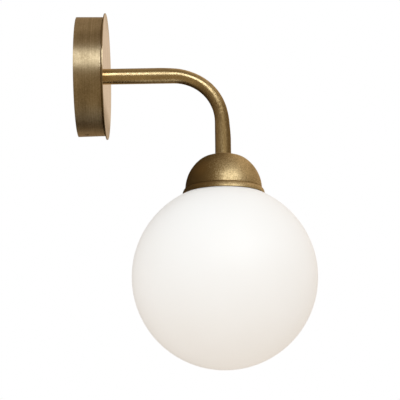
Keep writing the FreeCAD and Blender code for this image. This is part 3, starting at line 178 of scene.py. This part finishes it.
# Polished surfaces see a dim, warm room instead. Each tone covers those before it by its share.
lowered = shade(tree, "ShaderNodeMath", {0: onward, 1: -0.5, 2: upward}, operation="MULTIPLY_ADD").outputs[0]
raised = shade(tree, "ShaderNodeMath", {0: upward, 1: 0.35, 2: onward}, operation="MULTIPLY_ADD").outputs[0]
room = DARK_FLOOR
for share, tone in (
        # The room as a whole, above its dark floor.
        (ranged(tree, lowered, 0, 1, -1.10, -0.74), (0.38, 0.295, 0.185, 1)),
        # Its ceiling.
        (ranged(tree, upward, 0, 1, 0.3, 0.9), (0.29, 0.22, 0.145, 1)),
        # The wall that the lamp hangs on.
        (ranged(tree, wallward, 0, 1, 0.58, 0.98), (0.075, 0.048, 0.024, 1)),
        # The pale backdrop behind the lamp.
        (ranged(tree, raised, 0, 1, 0.12, 0.92), (0.80, 0.68, 0.56, 1)),
        # The dark corner beyond the lamp, on the wall's side.
        (product(tree, ranged(tree, onward, 0, 1, 0.0, 0.5), ranged(tree, wallward, 0, 1, -0.01, 0.12)),
         (0.05, 0.032, 0.016, 1)),
        # The dark floor in front of the lamp.
        (product(tree, ranged(tree, wallward, 1, 0, -0.85, -0.40), ranged(tree, upward, 1, 0, -0.20, 0.12)),
         (0.08, 0.052, 0.028, 1))):
    room = blended(tree, share, room, tone)

# The camera sees plain white.
ray = shade(tree, "ShaderNodeLightPath")
sharp_ray = shade(tree, "ShaderNodeMath", {
    0: ray.outputs["Is Glossy Ray"], 1: ray.outputs["Is Transmission Ray"]}, operation="MAXIMUM").outputs[0]
light = blended(tree, sharp_ray, even_light, room)
seen = blended(tree, ray.outputs["Is Camera Ray"], light, WHITE)
sky = shade(tree, "ShaderNodeBackground", {"Color": seen})
shade(tree, "ShaderNodeOutputWorld", {"Surface": sky.outputs[0]})

# A pale floor lies far below, out of the way of views from under the lamp. The camera sees it as white too,
# and polished surfaces don't see it.
FLOOR_LEVEL = -2.4
FLOOR_REACH = 9.6
FLOOR_COLOUR = (0.98, 0.94, 0.89, 1)
FLOOR_ROUGHNESS = 0.9
floor_mesh = bpy.data.meshes.new("floor")
floor_mesh.from_pydata([(x * FLOOR_REACH, y * FLOOR_REACH, FLOOR_LEVEL)
                        for x, y in ((-1, -1), (1, -1), (1, 1), (-1, 1))], [], [(0, 1, 2, 3)])
floor = bpy.data.objects.new("floor", floor_mesh)
floor.visible_glossy = False
bpy.context.scene.collection.objects.link(floor)


def finish(name):
    """A new material, its tree and the Principled shader that every finish starts from."""
    made = bpy.data.materials.new(name)
    made.use_nodes = True
    return made, made.node_tree, made.node_tree.nodes["Principled BSDF"]


floor_paint, tree, shader = finish("pale_floor")
shader.inputs["Base Color"].default_value = FLOOR_COLOUR
shader.inputs["Roughness"].default_value = FLOOR_ROUGHNESS
white = shade(tree, "ShaderNodeEmission", {"Color": WHITE})
ray = shade(tree, "ShaderNodeLightPath")
floor_look = shade(tree, "ShaderNodeMixShader", {
    0: ray.outputs["Is Camera Ray"], 1: shader.outputs[0], 2: white.outputs[0]})
tree.links.new(floor_look.outputs[0], tree.nodes["Material Output"].inputs["Surface"])
floor_mesh.materials.append(floor_paint)

# =========================================================================================================
# Canopy
# A cup spun from brass sheet and a blanked disc on its front, both brushed round their axis, then darkened
# with a brown patina. Two headless screws of the same brass hold the cup on the bracket inside.
# =========================================================================================================

CLEAN_BRASS = (0.620, 0.505, 0.325, 1)
BROWN_PATINA = (0.270, 0.200, 0.105, 1)
BRASS_AT_GRAZING = (0.90, 0.78, 0.62, 1)
BLOTCHES_PER_METRE = 48
BLOTCH_SPREAD = 0.22
GRAINS_PER_METRE = 950
GRAIN_ROUGHNESS = 0.04
GRAIN_HEIGHT = 1.5
LINE_HEIGHT = 0.7
BRUSH_DEPTH = 0.00002
DENTS_PER_METRE = 700
DENT_DEPTH = 0.0006
DISC_RADIUS = 0.0520
DISC_RIM = 0.0003


def noise(tree, source, per_metre, detail=3.0, roughness=0.6):
    """Smooth noise with this many cells per metre of the source: one number, or one each for X, Y and Z."""
    scale = per_metre if isinstance(per_metre, tuple) else (per_metre,) * 3
    mapped = shade(tree, "ShaderNodeMapping", {"Vector": source, "Scale": scale})
    return shade(tree, "ShaderNodeTexNoise", {
        "Vector": mapped.outputs[0], "Scale": 1.0, "Detail": detail, "Roughness": roughness}).outputs["Fac"]


def added(tree, *parts):
    """The sum of the parts."""
    total = parts[0]
    for part in parts[1:]:
        total = shade(tree, "ShaderNodeMath", {0: total, 1: part}, operation="ADD").outputs[0]
    return total


def relief(tree, height, strength, depth, under=None):
    """The normal of a surface that rises by depth metres where height goes from 0 to 1, by strength.

    The relief lies on another one where under is given.
    """
    made = shade(tree, "ShaderNodeBump", {"Height": height, "Strength": strength, "Distance": depth})
    if under:
        tree.links.new(under, made.inputs["Normal"])
    return made.outputs[0]


def aged_brass(name, lines_of, patina_and_shade_of, age, rough, clean=CLEAN_BRASS, patina=BROWN_PATINA, drawn=0.0,
               way_of=None, painted_light_of=None, line_age=0.2, grainy=0.2, dents=0.0, bump=0.3):
    """Brushed, darkened brass. Each argument that ends in _of is a function of the tree and the place on it.

    The darkening is a sum: age with slow blotches, the brush lines of lines_of by line_age, a grain of 1 mm
    by grainy, and patina_and_shade_of, which is painted light and shade on the cup, the disc and the dome and
    patina on the leg.
    The roughness follows it between the two values of rough, and so does the colour from clean to patina,
    with painted_light_of added, which is painted light. The height is the lines and the grain and, where
    patina_and_shade_of is above 0, dents 1.5 mm apart. The polish smears what it reflects along way_of,
    across the lines, by drawn.
    """
    made, tree, shader = finish(name)
    place = shade(tree, "ShaderNodeTexCoord").outputs["Object"]
    lines = lines_of(tree, place)
    patina_and_shade = patina_and_shade_of(tree, place)
    grain = noise(tree, place, GRAINS_PER_METRE)
    blotches = noise(tree, place, BLOTCHES_PER_METRE, detail=4.0, roughness=0.65)
    tarnish_and_shade = added(tree, ranged(tree, blotches, age - BLOTCH_SPREAD, age + BLOTCH_SPREAD),
                    ranged(tree, lines, -line_age, line_age, 0.2, 0.8),
                    ranged(tree, grain, -grainy, grainy), patina_and_shade)
    # painted_light_of is painted light: it lightens the colour only, not the roughness.
    shown = added(tree, tarnish_and_shade, painted_light_of(tree, place)) if painted_light_of else tarnish_and_shade
    tree.links.new(blended(tree, shown, clean, patina), shader.inputs["Base Color"])
    dull = added(tree, ranged(tree, tarnish_and_shade, *rough, 0, 1),
                 ranged(tree, grain, -GRAIN_ROUGHNESS, GRAIN_ROUGHNESS))
    tree.links.new(dull, shader.inputs["Roughness"])
    uneven = None
    if dents:
        dented = noise(tree, place, DENTS_PER_METRE, detail=2.0)
        uneven = relief(tree, dented, product(tree, patina_and_shade, dents), DENT_DEPTH)
    height = added(tree, ranged(tree, lines, 0, LINE_HEIGHT, 0, 1),
                   ranged(tree, grain, 0, GRAIN_HEIGHT, 0, 1))
    tree.links.new(relief(tree, height, bump, BRUSH_DEPTH, uneven), shader.inputs["Normal"])
    if way_of:
        tree.links.new(way_of(tree, place), shader.inputs["Tangent"])
    shader.inputs["Anisotropic"].default_value = drawn
    shader.inputs["Metallic"].default_value = 1.0
    shader.inputs["Specular Tint"].default_value = BRASS_AT_GRAZING
    return made


def brushed(tree, source, fine, coarse, share=0.5, detail=2.0):
    """Fine brush lines with coarse ones mixed in by share. Both are given in cells per metre on each axis."""
    thin = noise(tree, source, fine, detail=2.0)
    thick = noise(tree, source, coarse, detail=detail)
    return shade(tree, "ShaderNodeMix", {"Factor": share, 2: thin, 3: thick}).outputs[0]


def lines_round_the_cup(tree, place):
    """Hair lines of 0.3 and 1 mm that run round the canopy's axis and fade over a few centimetres."""
    return brushed(tree, place, fine=(14, 3400, 14), coarse=(9, 900, 9))


def across_the_cup(tree, place):
    """Along the canopy's axis."""
    return shade(tree, "ShaderNodeCombineXYZ", {"Y": 1.0}).outputs[0]


def painted_light_and_shade_on_the_cup(tree, place):
    """Painted shade low down on the cup and painted light at its top: darker and rougher below, lighter
    above.
    """
    height = component(tree, place, "Z")
    return added(tree, ranged(tree, height, 0.10, 0.0, -0.046, -0.026),
                 ranged(tree, height, 0.0, -0.12, 0.030, 0.046))


def distance_from_the_axis(tree, place):
    """The length of the place's X and Z parts."""
    flat = shade(tree, "ShaderNodeVectorMath", {0: place, 1: (1, 0, 1)}, operation="MULTIPLY").outputs[0]
    return shade(tree, "ShaderNodeVectorMath", {0: flat}, operation="LENGTH").outputs["Value"]


def lines_round_the_disc(tree, place):
    """Rings 0.4 mm wide on the disc's face, from the distance to the canopy's axis."""
    radius = distance_from_the_axis(tree, place)
    return noise(tree, shade(tree, "ShaderNodeCombineXYZ", {"X": radius}).outputs[0], (2600, 1, 1))


def painted_shade_on_the_disc(tree, place):
    """Painted shade: darker and rougher on the lowest quarter of the disc and on its rim, and a little at its
    top.
    """
    height = component(tree, place, "Z")
    radius = distance_from_the_axis(tree, place)
    return added(tree, ranged(tree, height, 1.7, 0.0, -DISC_RADIUS, -0.024),
                 ranged(tree, height, 0.0, 0.5, 0.036, 0.050),
                 ranged(tree, radius, 0.0, 0.3, DISC_RADIUS - DISC_RIM, DISC_RADIUS))


def dress(look, *nodes):
    """Gives these CAD nodes their finish."""
    for node in nodes:
        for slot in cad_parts[node].material_slots:
            slot.material = look


cup_brass = aged_brass("cup_brass", lines_round_the_cup, painted_light_and_shade_on_the_cup, age=0.47, rough=(0.36, 0.48),
                       drawn=0.8, way_of=across_the_cup, line_age=0.35)
disc_brass = aged_brass("disc_brass", lines_round_the_disc, painted_shade_on_the_disc, age=0.15, rough=(0.08, 0.24),
                        line_age=0.1, grainy=0.05, bump=0.06)
dress(cup_brass, "canopy_cup", "canopy_screws")
dress(disc_brass, "canopy_disc")

# =========================================================================================================
# Bracket and earthing point
# A strap bent from zinc-plated steel is screwed to the wall. A slotted brass screw holds the crimped, tinned
# ring terminal of the earth wire on it.
# =========================================================================================================

SCRATCHES = (2600, 300, 2600)
SCRATCH_DEPTH = 0.00002
SCRATCH_STRENGTH = 0.15


def plated(name, colour, mottled, rough, spangle=260):
    """A plated or turned metal: two near tones in soft patches, uneven gloss and fine scratches."""
    made, tree, shader = finish(name)
    place = shade(tree, "ShaderNodeTexCoord").outputs["Object"]
    patches = noise(tree, place, spangle, detail=4.0)
    scratches = noise(tree, place, SCRATCHES, detail=2.0)
    dull = ranged(tree, patches, rough - 0.06, rough + 0.08)
    tree.links.new(blended(tree, ranged(tree, patches, 0, 1), colour, mottled), shader.inputs["Base Color"])
    tree.links.new(added(tree, dull, ranged(tree, scratches, -0.03, 0.03)), shader.inputs["Roughness"])
    tree.links.new(relief(tree, scratches, SCRATCH_STRENGTH, SCRATCH_DEPTH), shader.inputs["Normal"])
    shader.inputs["Metallic"].default_value = 1.0
    return made


zinc_steel = plated("zinc_steel", (0.62, 0.64, 0.66, 1), (0.48, 0.50, 0.53, 1), 0.34, spangle=420)
bright_brass = plated("bright_brass", (0.80, 0.62, 0.30, 1), (0.66, 0.48, 0.20, 1), 0.26)
nickel = plated("nickel", (0.70, 0.67, 0.62, 1), (0.56, 0.53, 0.48, 1), 0.22)
dress(zinc_steel, "wall_bracket")
dress(bright_brass, "earth_screw")
dress(nickel, "earth_lug")

# =========================================================================================================
# Terminal block
# A three-pole housing of white nylon with tapped brass barrels in it. Steel screws clamp the wires, and one
# more holds the block on the bracket.
# =========================================================================================================

CLOUDS_PER_METRE = 90
PIT_DEPTH = 0.00003


def moulded(name, colour, second, rough, pits=1800, bump=0.25, gloss=0.0, pattern_of=None):
    """A moulded plastic, rubber or ceramic: two tones under a fine, matt grain of this many pits per metre.

    The tones lie in slow clouds, or follow pattern_of where it is given. gloss is a clear coat on top.
    """
    made, tree, shader = finish(name)
    place = shade(tree, "ShaderNodeTexCoord").outputs["Object"]
    if pattern_of:
        pattern = pattern_of(tree, place)
    else:
        pattern = ranged(tree, noise(tree, place, CLOUDS_PER_METRE), 0, 1)
    pitted = noise(tree, place, pits, detail=2.0)
    tree.links.new(blended(tree, pattern, colour, second), shader.inputs["Base Color"])
    tree.links.new(ranged(tree, pitted, rough - 0.07, rough + 0.07), shader.inputs["Roughness"])
    tree.links.new(relief(tree, pitted, bump, PIT_DEPTH), shader.inputs["Normal"])
    shader.inputs["Coat Weight"].default_value = gloss
    return made


white_nylon = moulded("white_nylon", (0.83, 0.82, 0.78, 1), (0.76, 0.74, 0.69, 1), 0.42)
dress(white_nylon, "terminal_block")
dress(bright_brass, "terminal_clamps")
dress(zinc_steel, "terminal_screws", "block_screw")

# =========================================================================================================
# Arm
# One brass tube, 13 mm across, bent through a right angle on a former. The bend is a little flattened, as a
# tube that is bent without a mandrel is. It is polished round and round, which leaves marks across it.
# =========================================================================================================

TUBE_RADIUS = 0.0065
BORE_RADIUS = 0.00505
TUBE_START = -0.024
LEG_AXIS = -0.119
LEG_END = -0.06875
BEND_RADIUS = 0.040
BEND_LENGTH = BEND_RADIUS * math.pi / 2
STRAIGHT = -LEG_AXIS - BEND_RADIUS + TUBE_START
TUBE_LENGTH = STRAIGHT + BEND_LENGTH - BEND_RADIUS - LEG_END
BEND_FLATTENING = 0.115
BEND_SPREADING = 0.05
FLAT_BEFORE_BEND = 0.012
FLAT_AFTER_BEND = 0.016
FLAT_RISE = 0.030
FLAT_FALL = 0.026
TUBE_ROWS = 180
TUBE_COLUMNS = 96
YELLOW_BRASS = (0.640, 0.500, 0.275, 1)
OLIVE_PATINA = (0.262, 0.178, 0.075, 1)
SHARP_EDGE = math.radians(35)


def surface(name, grid, look, slot, **stored):
    """A closed skin over a grid of points: rows along it and columns round it, the last joined to the first.

    Its faces point outwards: they are turned over where the volume that they enclose, the sum of each
    triangle's a . (b x c), is negative. Each of stored is one more grid, kept as an attribute for the finish.
    """
    rows, columns = grid.shape[:2]
    index = np.arange(rows * columns).reshape(rows, columns)
    above = np.roll(index, -1, axis=0)
    beside, beyond = (np.roll(row, -1, axis=1) for row in (index, above))
    quads = np.stack([index, beside, beyond, above], axis=-1).reshape(-1, 4)
    points = grid.reshape(-1, 3)
    triangles = np.concatenate([quads[:, [0, 1, 2]], quads[:, [0, 2, 3]]])
    first, second, third = (points[triangles[:, corner]] for corner in range(3))
    if np.einsum("ij,ij->", first, np.cross(second, third)) < 0:
        quads = quads[:, ::-1]
    mesh = bpy.data.meshes.new(name)
    mesh.from_pydata(points.tolist(), [], quads.tolist())
    for kept, values in stored.items():
        layer = mesh.attributes.new(kept, "FLOAT_VECTOR", "POINT")
        layer.data.foreach_set("vector", values.astype(np.float32).ravel())
    mesh.polygons.foreach_set("use_smooth", np.ones(len(quads), dtype=bool))
    mesh.set_sharp_from_angle(angle=SHARP_EDGE)
    mesh.materials.append(look)
    piece = bpy.data.objects.new(name, mesh)
    bpy.context.scene.collection.objects.link(piece)
    return piece


def arm_path(length):
    """Points, outward normals, directions and flattening at these lengths along the middle line.

    It runs out along -Y, round a quarter circle and down. The normal points away from the bend's centre. The
    flattening is a smooth bump: it rises to 1 from a little before the bend and falls to 0 a little after it.
    """
    turn = np.clip((length - STRAIGHT) / BEND_RADIUS, 0, math.pi / 2)
    after = np.clip(length - STRAIGHT - BEND_LENGTH, 0, None)
    before = np.minimum(length, STRAIGHT)
    y = TUBE_START - before - BEND_RADIUS * np.sin(turn)
    z = -BEND_RADIUS * (1 - np.cos(turn)) - after
    normal = np.stack([0 * turn, -np.sin(turn), np.cos(turn)], axis=-1)
    direction = np.stack([0 * turn, -np.cos(turn), -np.sin(turn)], axis=-1)
    rise = np.clip((length - STRAIGHT + FLAT_BEFORE_BEND) / FLAT_RISE, 0, 1)
    fall = np.clip((STRAIGHT + BEND_LENGTH + FLAT_AFTER_BEND - length) / FLAT_FALL, 0, 1)
    flat = (rise * rise * (3 - 2 * rise)) * (fall * fall * (3 - 2 * fall))
    return np.stack([0 * y, y, z], axis=-1), normal, direction, flat


along = np.linspace(0, TUBE_LENGTH, TUBE_ROWS)[:, None]
around = np.linspace(0, 2 * math.pi, TUBE_COLUMNS, endpoint=False)[None, :]
middle, normal, direction, flat = arm_path(along[:, 0])
flat = flat[:, None]


def tube_wall(radius):
    """middle + radius * (cos a * normal + sin a * sideways), sunk outside the bend and spread sideways."""
    tall = radius * (1 - BEND_FLATTENING * flat) * np.cos(around) - radius * BEND_FLATTENING * flat
    wide = radius * (1 + BEND_SPREADING * flat) * np.sin(around)
    sideways = np.array([1.0, 0, 0])
    return middle[:, None, :] + tall[..., None] * normal[:, None, :] + wide[..., None] * sideways


tube_grid = np.concatenate([tube_wall(TUBE_RADIUS), tube_wall(BORE_RADIUS)[::-1]])
tube_brush = np.stack(np.broadcast_arrays(
    TUBE_RADIUS * np.cos(around), TUBE_RADIUS * np.sin(around), along), axis=-1)
tube_way = np.broadcast_to(direction[:, None, :], tube_brush.shape)


def attribute(tree, name):
    """A vector stored with the mesh."""
    return shade(tree, "ShaderNodeAttribute", attribute_name=name).outputs["Vector"]


def lines_across_the_tube(tree, place):
    """Marks of 0.5 and 2.4 mm across the tube, from the stored length along it."""
    return brushed(tree, attribute(tree, "brush"), fine=(60, 60, 1900), coarse=(90, 90, 420))


def stored_way(tree, place):
    """The stored direction across the brush lines: along the tube, or down the dome's profile."""
    return attribute(tree, "way")


def dark_on_the_leg(tree, place):
    """More patina from the second half of the bend down."""
    return ranged(tree, component(tree, attribute(tree, "brush"), "Z"), 0.0, 0.60, 0.080, 0.115)


def painted_light_on_the_walls_side(tree, place):
    """Painted light: a lighter colour on the side of the leg that faces the wall."""
    brush = attribute(tree, "brush")
    return product(tree, ranged(tree, component(tree, brush, "X"), -1.1, 0.0, -0.0050, 0.0010),
                   ranged(tree, component(tree, brush, "Z"), 0, 1, 0.085, 0.120))


tube_brass = aged_brass("tube_brass", lines_across_the_tube, dark_on_the_leg, age=0.36, rough=(0.13, 0.58),
                        clean=YELLOW_BRASS, patina=OLIVE_PATINA, drawn=0.4, way_of=stored_way,
                        painted_light_of=painted_light_on_the_walls_side, dents=1.3)
arm = surface("arm", tube_grid, tube_brass, "aged_brass",
              brush=np.concatenate([tube_brush, tube_brush[::-1]]),
              way=np.concatenate([tube_way, tube_way[::-1]]))
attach(arm, "mounting")
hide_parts("arm_tube")

# =========================================================================================================
# Nipples, nuts and washers
# Threaded steel nipples screw into both ends of the tube. A toothed washer and a nut on each clamp the canopy
# and the dome, and a nylon bush in each keeps the wires off its edge.
# =========================================================================================================

dress(zinc_steel, "wall_nipple", "wall_lock_washer", "wall_nut")
dress(zinc_steel, "lamp_nipple", "lamp_lock_washer", "lamp_nut")
dress(white_nylon, "wall_wire_bush", "lamp_wire_bush")

# =========================================================================================================
# Dome
# A half ball spun from brass sheet, with a blunt crown under the tube and a groove and a flared lip over the
# glass. It is brushed round and round like the canopy.
# =========================================================================================================

DOME_RADIUS = 0.03125
DOME_WALL = 0.0008
DOME_FLAT = 0.008
DOME_CROWN = 0.0184
DOME_END = 0.0012
GROOVE_DEPTH = 0.00028
GROOVE_HEIGHT = 0.00025
SHOULDER_WIDTH = 0.00135
SHOULDER_HEIGHT = 0.00115
LIP_SPREAD = 0.00225
LIP_HEIGHT = 0.0041
LIP_FLARE = 0.0070
PLATE_HOLE = 0.0052
DOME_COLUMNS = 160


def line(start, end, count):
    """count points from start to end, without the end."""
    return np.linspace(start, end, count, endpoint=False)


def arc(start, end, radius, count, bulge=1):
    """count points from start on a circle to end, without the end. bulge 1 keeps its centre on the right."""
    start, end = np.array(start), np.array(end)
    half = (end - start) / 2
    side = np.array([half[1], -half[0]]) / np.hypot(*half)
    centre = start + half + bulge * side * math.sqrt(radius ** 2 - half @ half)
    low, high = (math.atan2(*(point - centre)[::-1]) for point in (start, end))
    turn = (high - low + math.pi) % (2 * math.pi) - math.pi
    angles = low + turn * np.arange(count) / count
    return centre + radius * np.stack([np.cos(angles), np.sin(angles)], axis=-1)


def revolved(profile, columns):
    """(r, z) carried round the leg axis: (r cos a, axis + r sin a, z), its brush grid and its way grid.

    The brush grid holds the direction round the axis and the length along the profile, and the way grid the
    profile's own direction.
    """
    angle = np.linspace(0, 2 * math.pi, columns, endpoint=False)[None, :]
    radius, height = profile[:, :1], profile[:, 1:]
    grid = np.stack(np.broadcast_arrays(
        radius * np.cos(angle), LEG_AXIS + radius * np.sin(angle), height), axis=-1)
    run = np.concatenate([[0], np.cumsum(np.hypot(*np.diff(profile, axis=0).T))])[:, None]
    brush = np.stack(np.broadcast_arrays(
        radius.max() * np.cos(angle), radius.max() * np.sin(angle), run), axis=-1)
    step = np.roll(grid, -1, axis=0) - np.roll(grid, 1, axis=0)
    return grid, brush, step / np.linalg.norm(step, axis=-1, keepdims=True)


# The crown's arc meets the ball's where both have one tangent. Inside, every corner lies one wall further in,
# and both ends of the sloping shoulder are lower by lowered_inside.
crown_joint = DOME_FLAT * DOME_RADIUS / (DOME_RADIUS - DOME_CROWN)
crown_rise = math.sqrt(DOME_RADIUS ** 2 - crown_joint ** 2)
dome_centre = LEG_END - DOME_CROWN - (DOME_RADIUS - DOME_CROWN) * crown_rise / DOME_RADIUS
lowered_inside = DOME_WALL * (math.hypot(SHOULDER_WIDTH, SHOULDER_HEIGHT) - SHOULDER_HEIGHT) / SHOULDER_WIDTH
inner = (DOME_RADIUS - DOME_WALL) / DOME_RADIUS
hole = (PLATE_HOLE, LEG_END)
plate = (DOME_FLAT, LEG_END)
crown = (crown_joint, dome_centre + crown_rise)
foot = (math.sqrt(DOME_RADIUS ** 2 - DOME_END ** 2), dome_centre + DOME_END)
groove = (foot[0] - GROOVE_DEPTH, foot[1] - GROOVE_HEIGHT)
shoulder = (groove[0] + SHOULDER_WIDTH, groove[1] - SHOULDER_HEIGHT)
lip = (DOME_RADIUS + LIP_SPREAD, dome_centre - LIP_HEIGHT)
lip_inside = (lip[0] - DOME_WALL, lip[1])
shoulder_inside = (shoulder[0] - DOME_WALL, shoulder[1] - lowered_inside)
groove_inside = (groove[0] - DOME_WALL, groove[1] - lowered_inside)
foot_inside = (foot[0] - DOME_WALL, foot[1])
crown_inside = (crown_joint * inner, dome_centre + crown_rise * inner)
plate_inside = (DOME_FLAT, LEG_END - DOME_WALL)
hole_inside = (PLATE_HOLE, LEG_END - DOME_WALL)
dome_profile = np.concatenate([
    line(hole, plate, 3),
    arc(plate, crown, DOME_CROWN, 24),
    arc(crown, foot, DOME_RADIUS, 48),
    line(foot, groove, 3),
    line(groove, shoulder, 8),
    arc(shoulder, lip, LIP_FLARE, 16),
    line(lip, lip_inside, 3),
    arc(lip_inside, shoulder_inside, LIP_FLARE - DOME_WALL, 8, -1),
    line(shoulder_inside, groove_inside, 4),
    line(groove_inside, foot_inside, 3),
    arc(foot_inside, crown_inside, DOME_RADIUS - DOME_WALL, 32, -1),
    arc(crown_inside, plate_inside, DOME_CROWN - DOME_WALL, 16, -1),
    line(plate_inside, hole_inside, 3),
    line(hole_inside, hole, 2),
])


def lines_round_the_dome(tree, place):
    """Rings of 0.3 and 1 mm from the stored length along the dome's profile, broken up round it."""
    return brushed(tree, attribute(tree, "brush"), fine=(22, 22, 3000), coarse=(260, 260, 900),
                   share=0.6, detail=3.0)


def painted_shade_on_the_walls_side(tree, place):
    """Painted shade: darker and rougher on the half of the dome that faces the wall."""
    return ranged(tree, component(tree, place, "Y"), 0.0, 0.9, LEG_AXIS - 0.010, LEG_AXIS + 0.018)


dome_brass = aged_brass("dome_brass", lines_round_the_dome, painted_shade_on_the_walls_side, age=0.36,
                        rough=(0.46, 0.52), clean=YELLOW_BRASS, patina=OLIVE_PATINA, drawn=0.25,
                        way_of=stored_way, grainy=0.42, dents=0.15)
dome_grid, dome_brush, dome_way = revolved(dome_profile, DOME_COLUMNS)
dome = surface("dome", dome_grid, dome_brass, "aged_brass", brush=dome_brush, way=dome_way)
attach(dome, "mounting")
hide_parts("dome_cover")

# =========================================================================================================
# Gallery and gasket
# A ring pressed from brass sheet sits inside the dome, and a silicone ring lies in it on the glass.
# =========================================================================================================

dress(bright_brass, "gallery_ring")
dress(moulded("silicone", (0.80, 0.79, 0.77, 1), (0.72, 0.71, 0.68, 1), 0.58, pits=900), "globe_gasket")

# =========================================================================================================
# Glass
# A ball of opal glass, blown with a short neck and etched to a satin outside. Its neck screws into the
# gallery inside the dome.
# =========================================================================================================

OPAL = (0.960, 0.955, 0.940, 1)
CLEARER_OPAL = (0.970, 0.968, 0.958, 1)
OPAL_CLOUDS = 18
SATIN = (0.50, 0.62)
FROST_PER_METRE = 2500
FROST_STRENGTH = 0.15
FROST_DEPTH = 0.00002

opal_glass, tree, shader = finish("satin_opal_glass")
place = shade(tree, "ShaderNodeTexCoord").outputs["Object"]
clouds = noise(tree, place, OPAL_CLOUDS, detail=2.0)
frost = noise(tree, place, FROST_PER_METRE, detail=2.0)
tree.links.new(blended(tree, ranged(tree, clouds, 0, 1), OPAL, CLEARER_OPAL), shader.inputs["Base Color"])
tree.links.new(ranged(tree, frost, *SATIN), shader.inputs["Roughness"])
tree.links.new(relief(tree, frost, FROST_STRENGTH, FROST_DEPTH), shader.inputs["Normal"])
dress(opal_glass, "glass_globe")

# =========================================================================================================
# Lampholder
# The two halves are moulded in black phenolic resin and hold a steatite insert with the contacts. The plated
# screw shell and a spring contact take the bulb, and brass screws clamp the wires.
# =========================================================================================================

dress(moulded("black_resin", (0.020, 0.019, 0.018, 1), (0.032, 0.029, 0.027, 1), 0.30, pits=700, gloss=0.3),
      "lampholder_cap", "lampholder_sleeve")
dress(moulded("ceramic", (0.80, 0.78, 0.72, 1), (0.72, 0.69, 0.62, 1), 0.48, pits=2600, bump=0.4),
      "contact_insert")
dress(zinc_steel, "holder_lock_screw")
dress(bright_brass, "holder_screws")
dress(nickel, "screw_shell", "centre_contact")

# =========================================================================================================
# Bulb
# A filament lamp with a nickel-plated screw cap: a clear envelope, a glass stem, and stiff wires that carry
# four sticks coated in yellow phosphor.
# =========================================================================================================

GLASS_IOR = 1.5
GLASS_TINT = (0.97, 0.98, 0.97, 1)
POLISHED = (0.01, 0.05)
RIPPLES = (140, 140, 60)
RIPPLE_STRENGTH = 0.1
RIPPLE_DEPTH = 0.0002

clear_glass, tree, shader = finish("clear_glass")
ripple = noise(tree, shade(tree, "ShaderNodeTexCoord").outputs["Object"], RIPPLES, detail=2.0)
tree.links.new(ranged(tree, ripple, *POLISHED), shader.inputs["Roughness"])
tree.links.new(relief(tree, ripple, RIPPLE_STRENGTH, RIPPLE_DEPTH), shader.inputs["Normal"])
shader.inputs["Base Color"].default_value = GLASS_TINT
shader.inputs["Transmission Weight"].default_value = 1.0
shader.inputs["IOR"].default_value = GLASS_IOR
dress(clear_glass, "bulb_glass", "bulb_stem")
dress(nickel, "bulb_tip", "bulb_base", "filament_frame")
dress(moulded("cap_insulator", (0.016, 0.016, 0.020, 1), (0.030, 0.030, 0.036, 1), 0.20, gloss=0.5),
      "bulb_insulator")
dress(moulded("phosphor", (0.86, 0.60, 0.14, 1), (0.78, 0.50, 0.09, 1), 0.62, pits=3200, bump=0.5),
      "bulb_filaments")

# =========================================================================================================
# Wires
# Soft PVC over stranded copper: brown and blue run from the block through the arm to the lampholder, and
# green and yellow joins the block to the earthing point.
# =========================================================================================================

STRIPE_WIDTH = 0.0045
STRIPES_AT_SCALE_ONE = 3.18


def green_and_yellow_stripes(tree, place):
    """0 on the green stripes and 1 on the yellow ones, which follow X + Y + Z and waver a little.

    A wave texture of scale 1 has STRIPES_AT_SCALE_ONE stripes to the metre.
    """
    waves = shade(tree, "ShaderNodeTexWave", {
        "Vector": place, "Scale": 1 / STRIPE_WIDTH / STRIPES_AT_SCALE_ONE, "Distortion": 0.3,
    }, bands_direction="DIAGONAL")
    return ranged(tree, waves.outputs["Fac"], 0, 1, 0.46, 0.54)


dress(moulded("brown_pvc", (0.120, 0.052, 0.026, 1), (0.090, 0.038, 0.020, 1), 0.40, gloss=0.15),
      "live_wire")
dress(moulded("blue_pvc", (0.030, 0.130, 0.400, 1), (0.022, 0.100, 0.330, 1), 0.40, gloss=0.15),
      "neutral_wire")
dress(moulded("green_yellow_pvc", (0.030, 0.230, 0.045, 1), (0.780, 0.610, 0.030, 1), 0.40, gloss=0.15,
              pattern_of=green_and_yellow_stripes), "earth_wire")
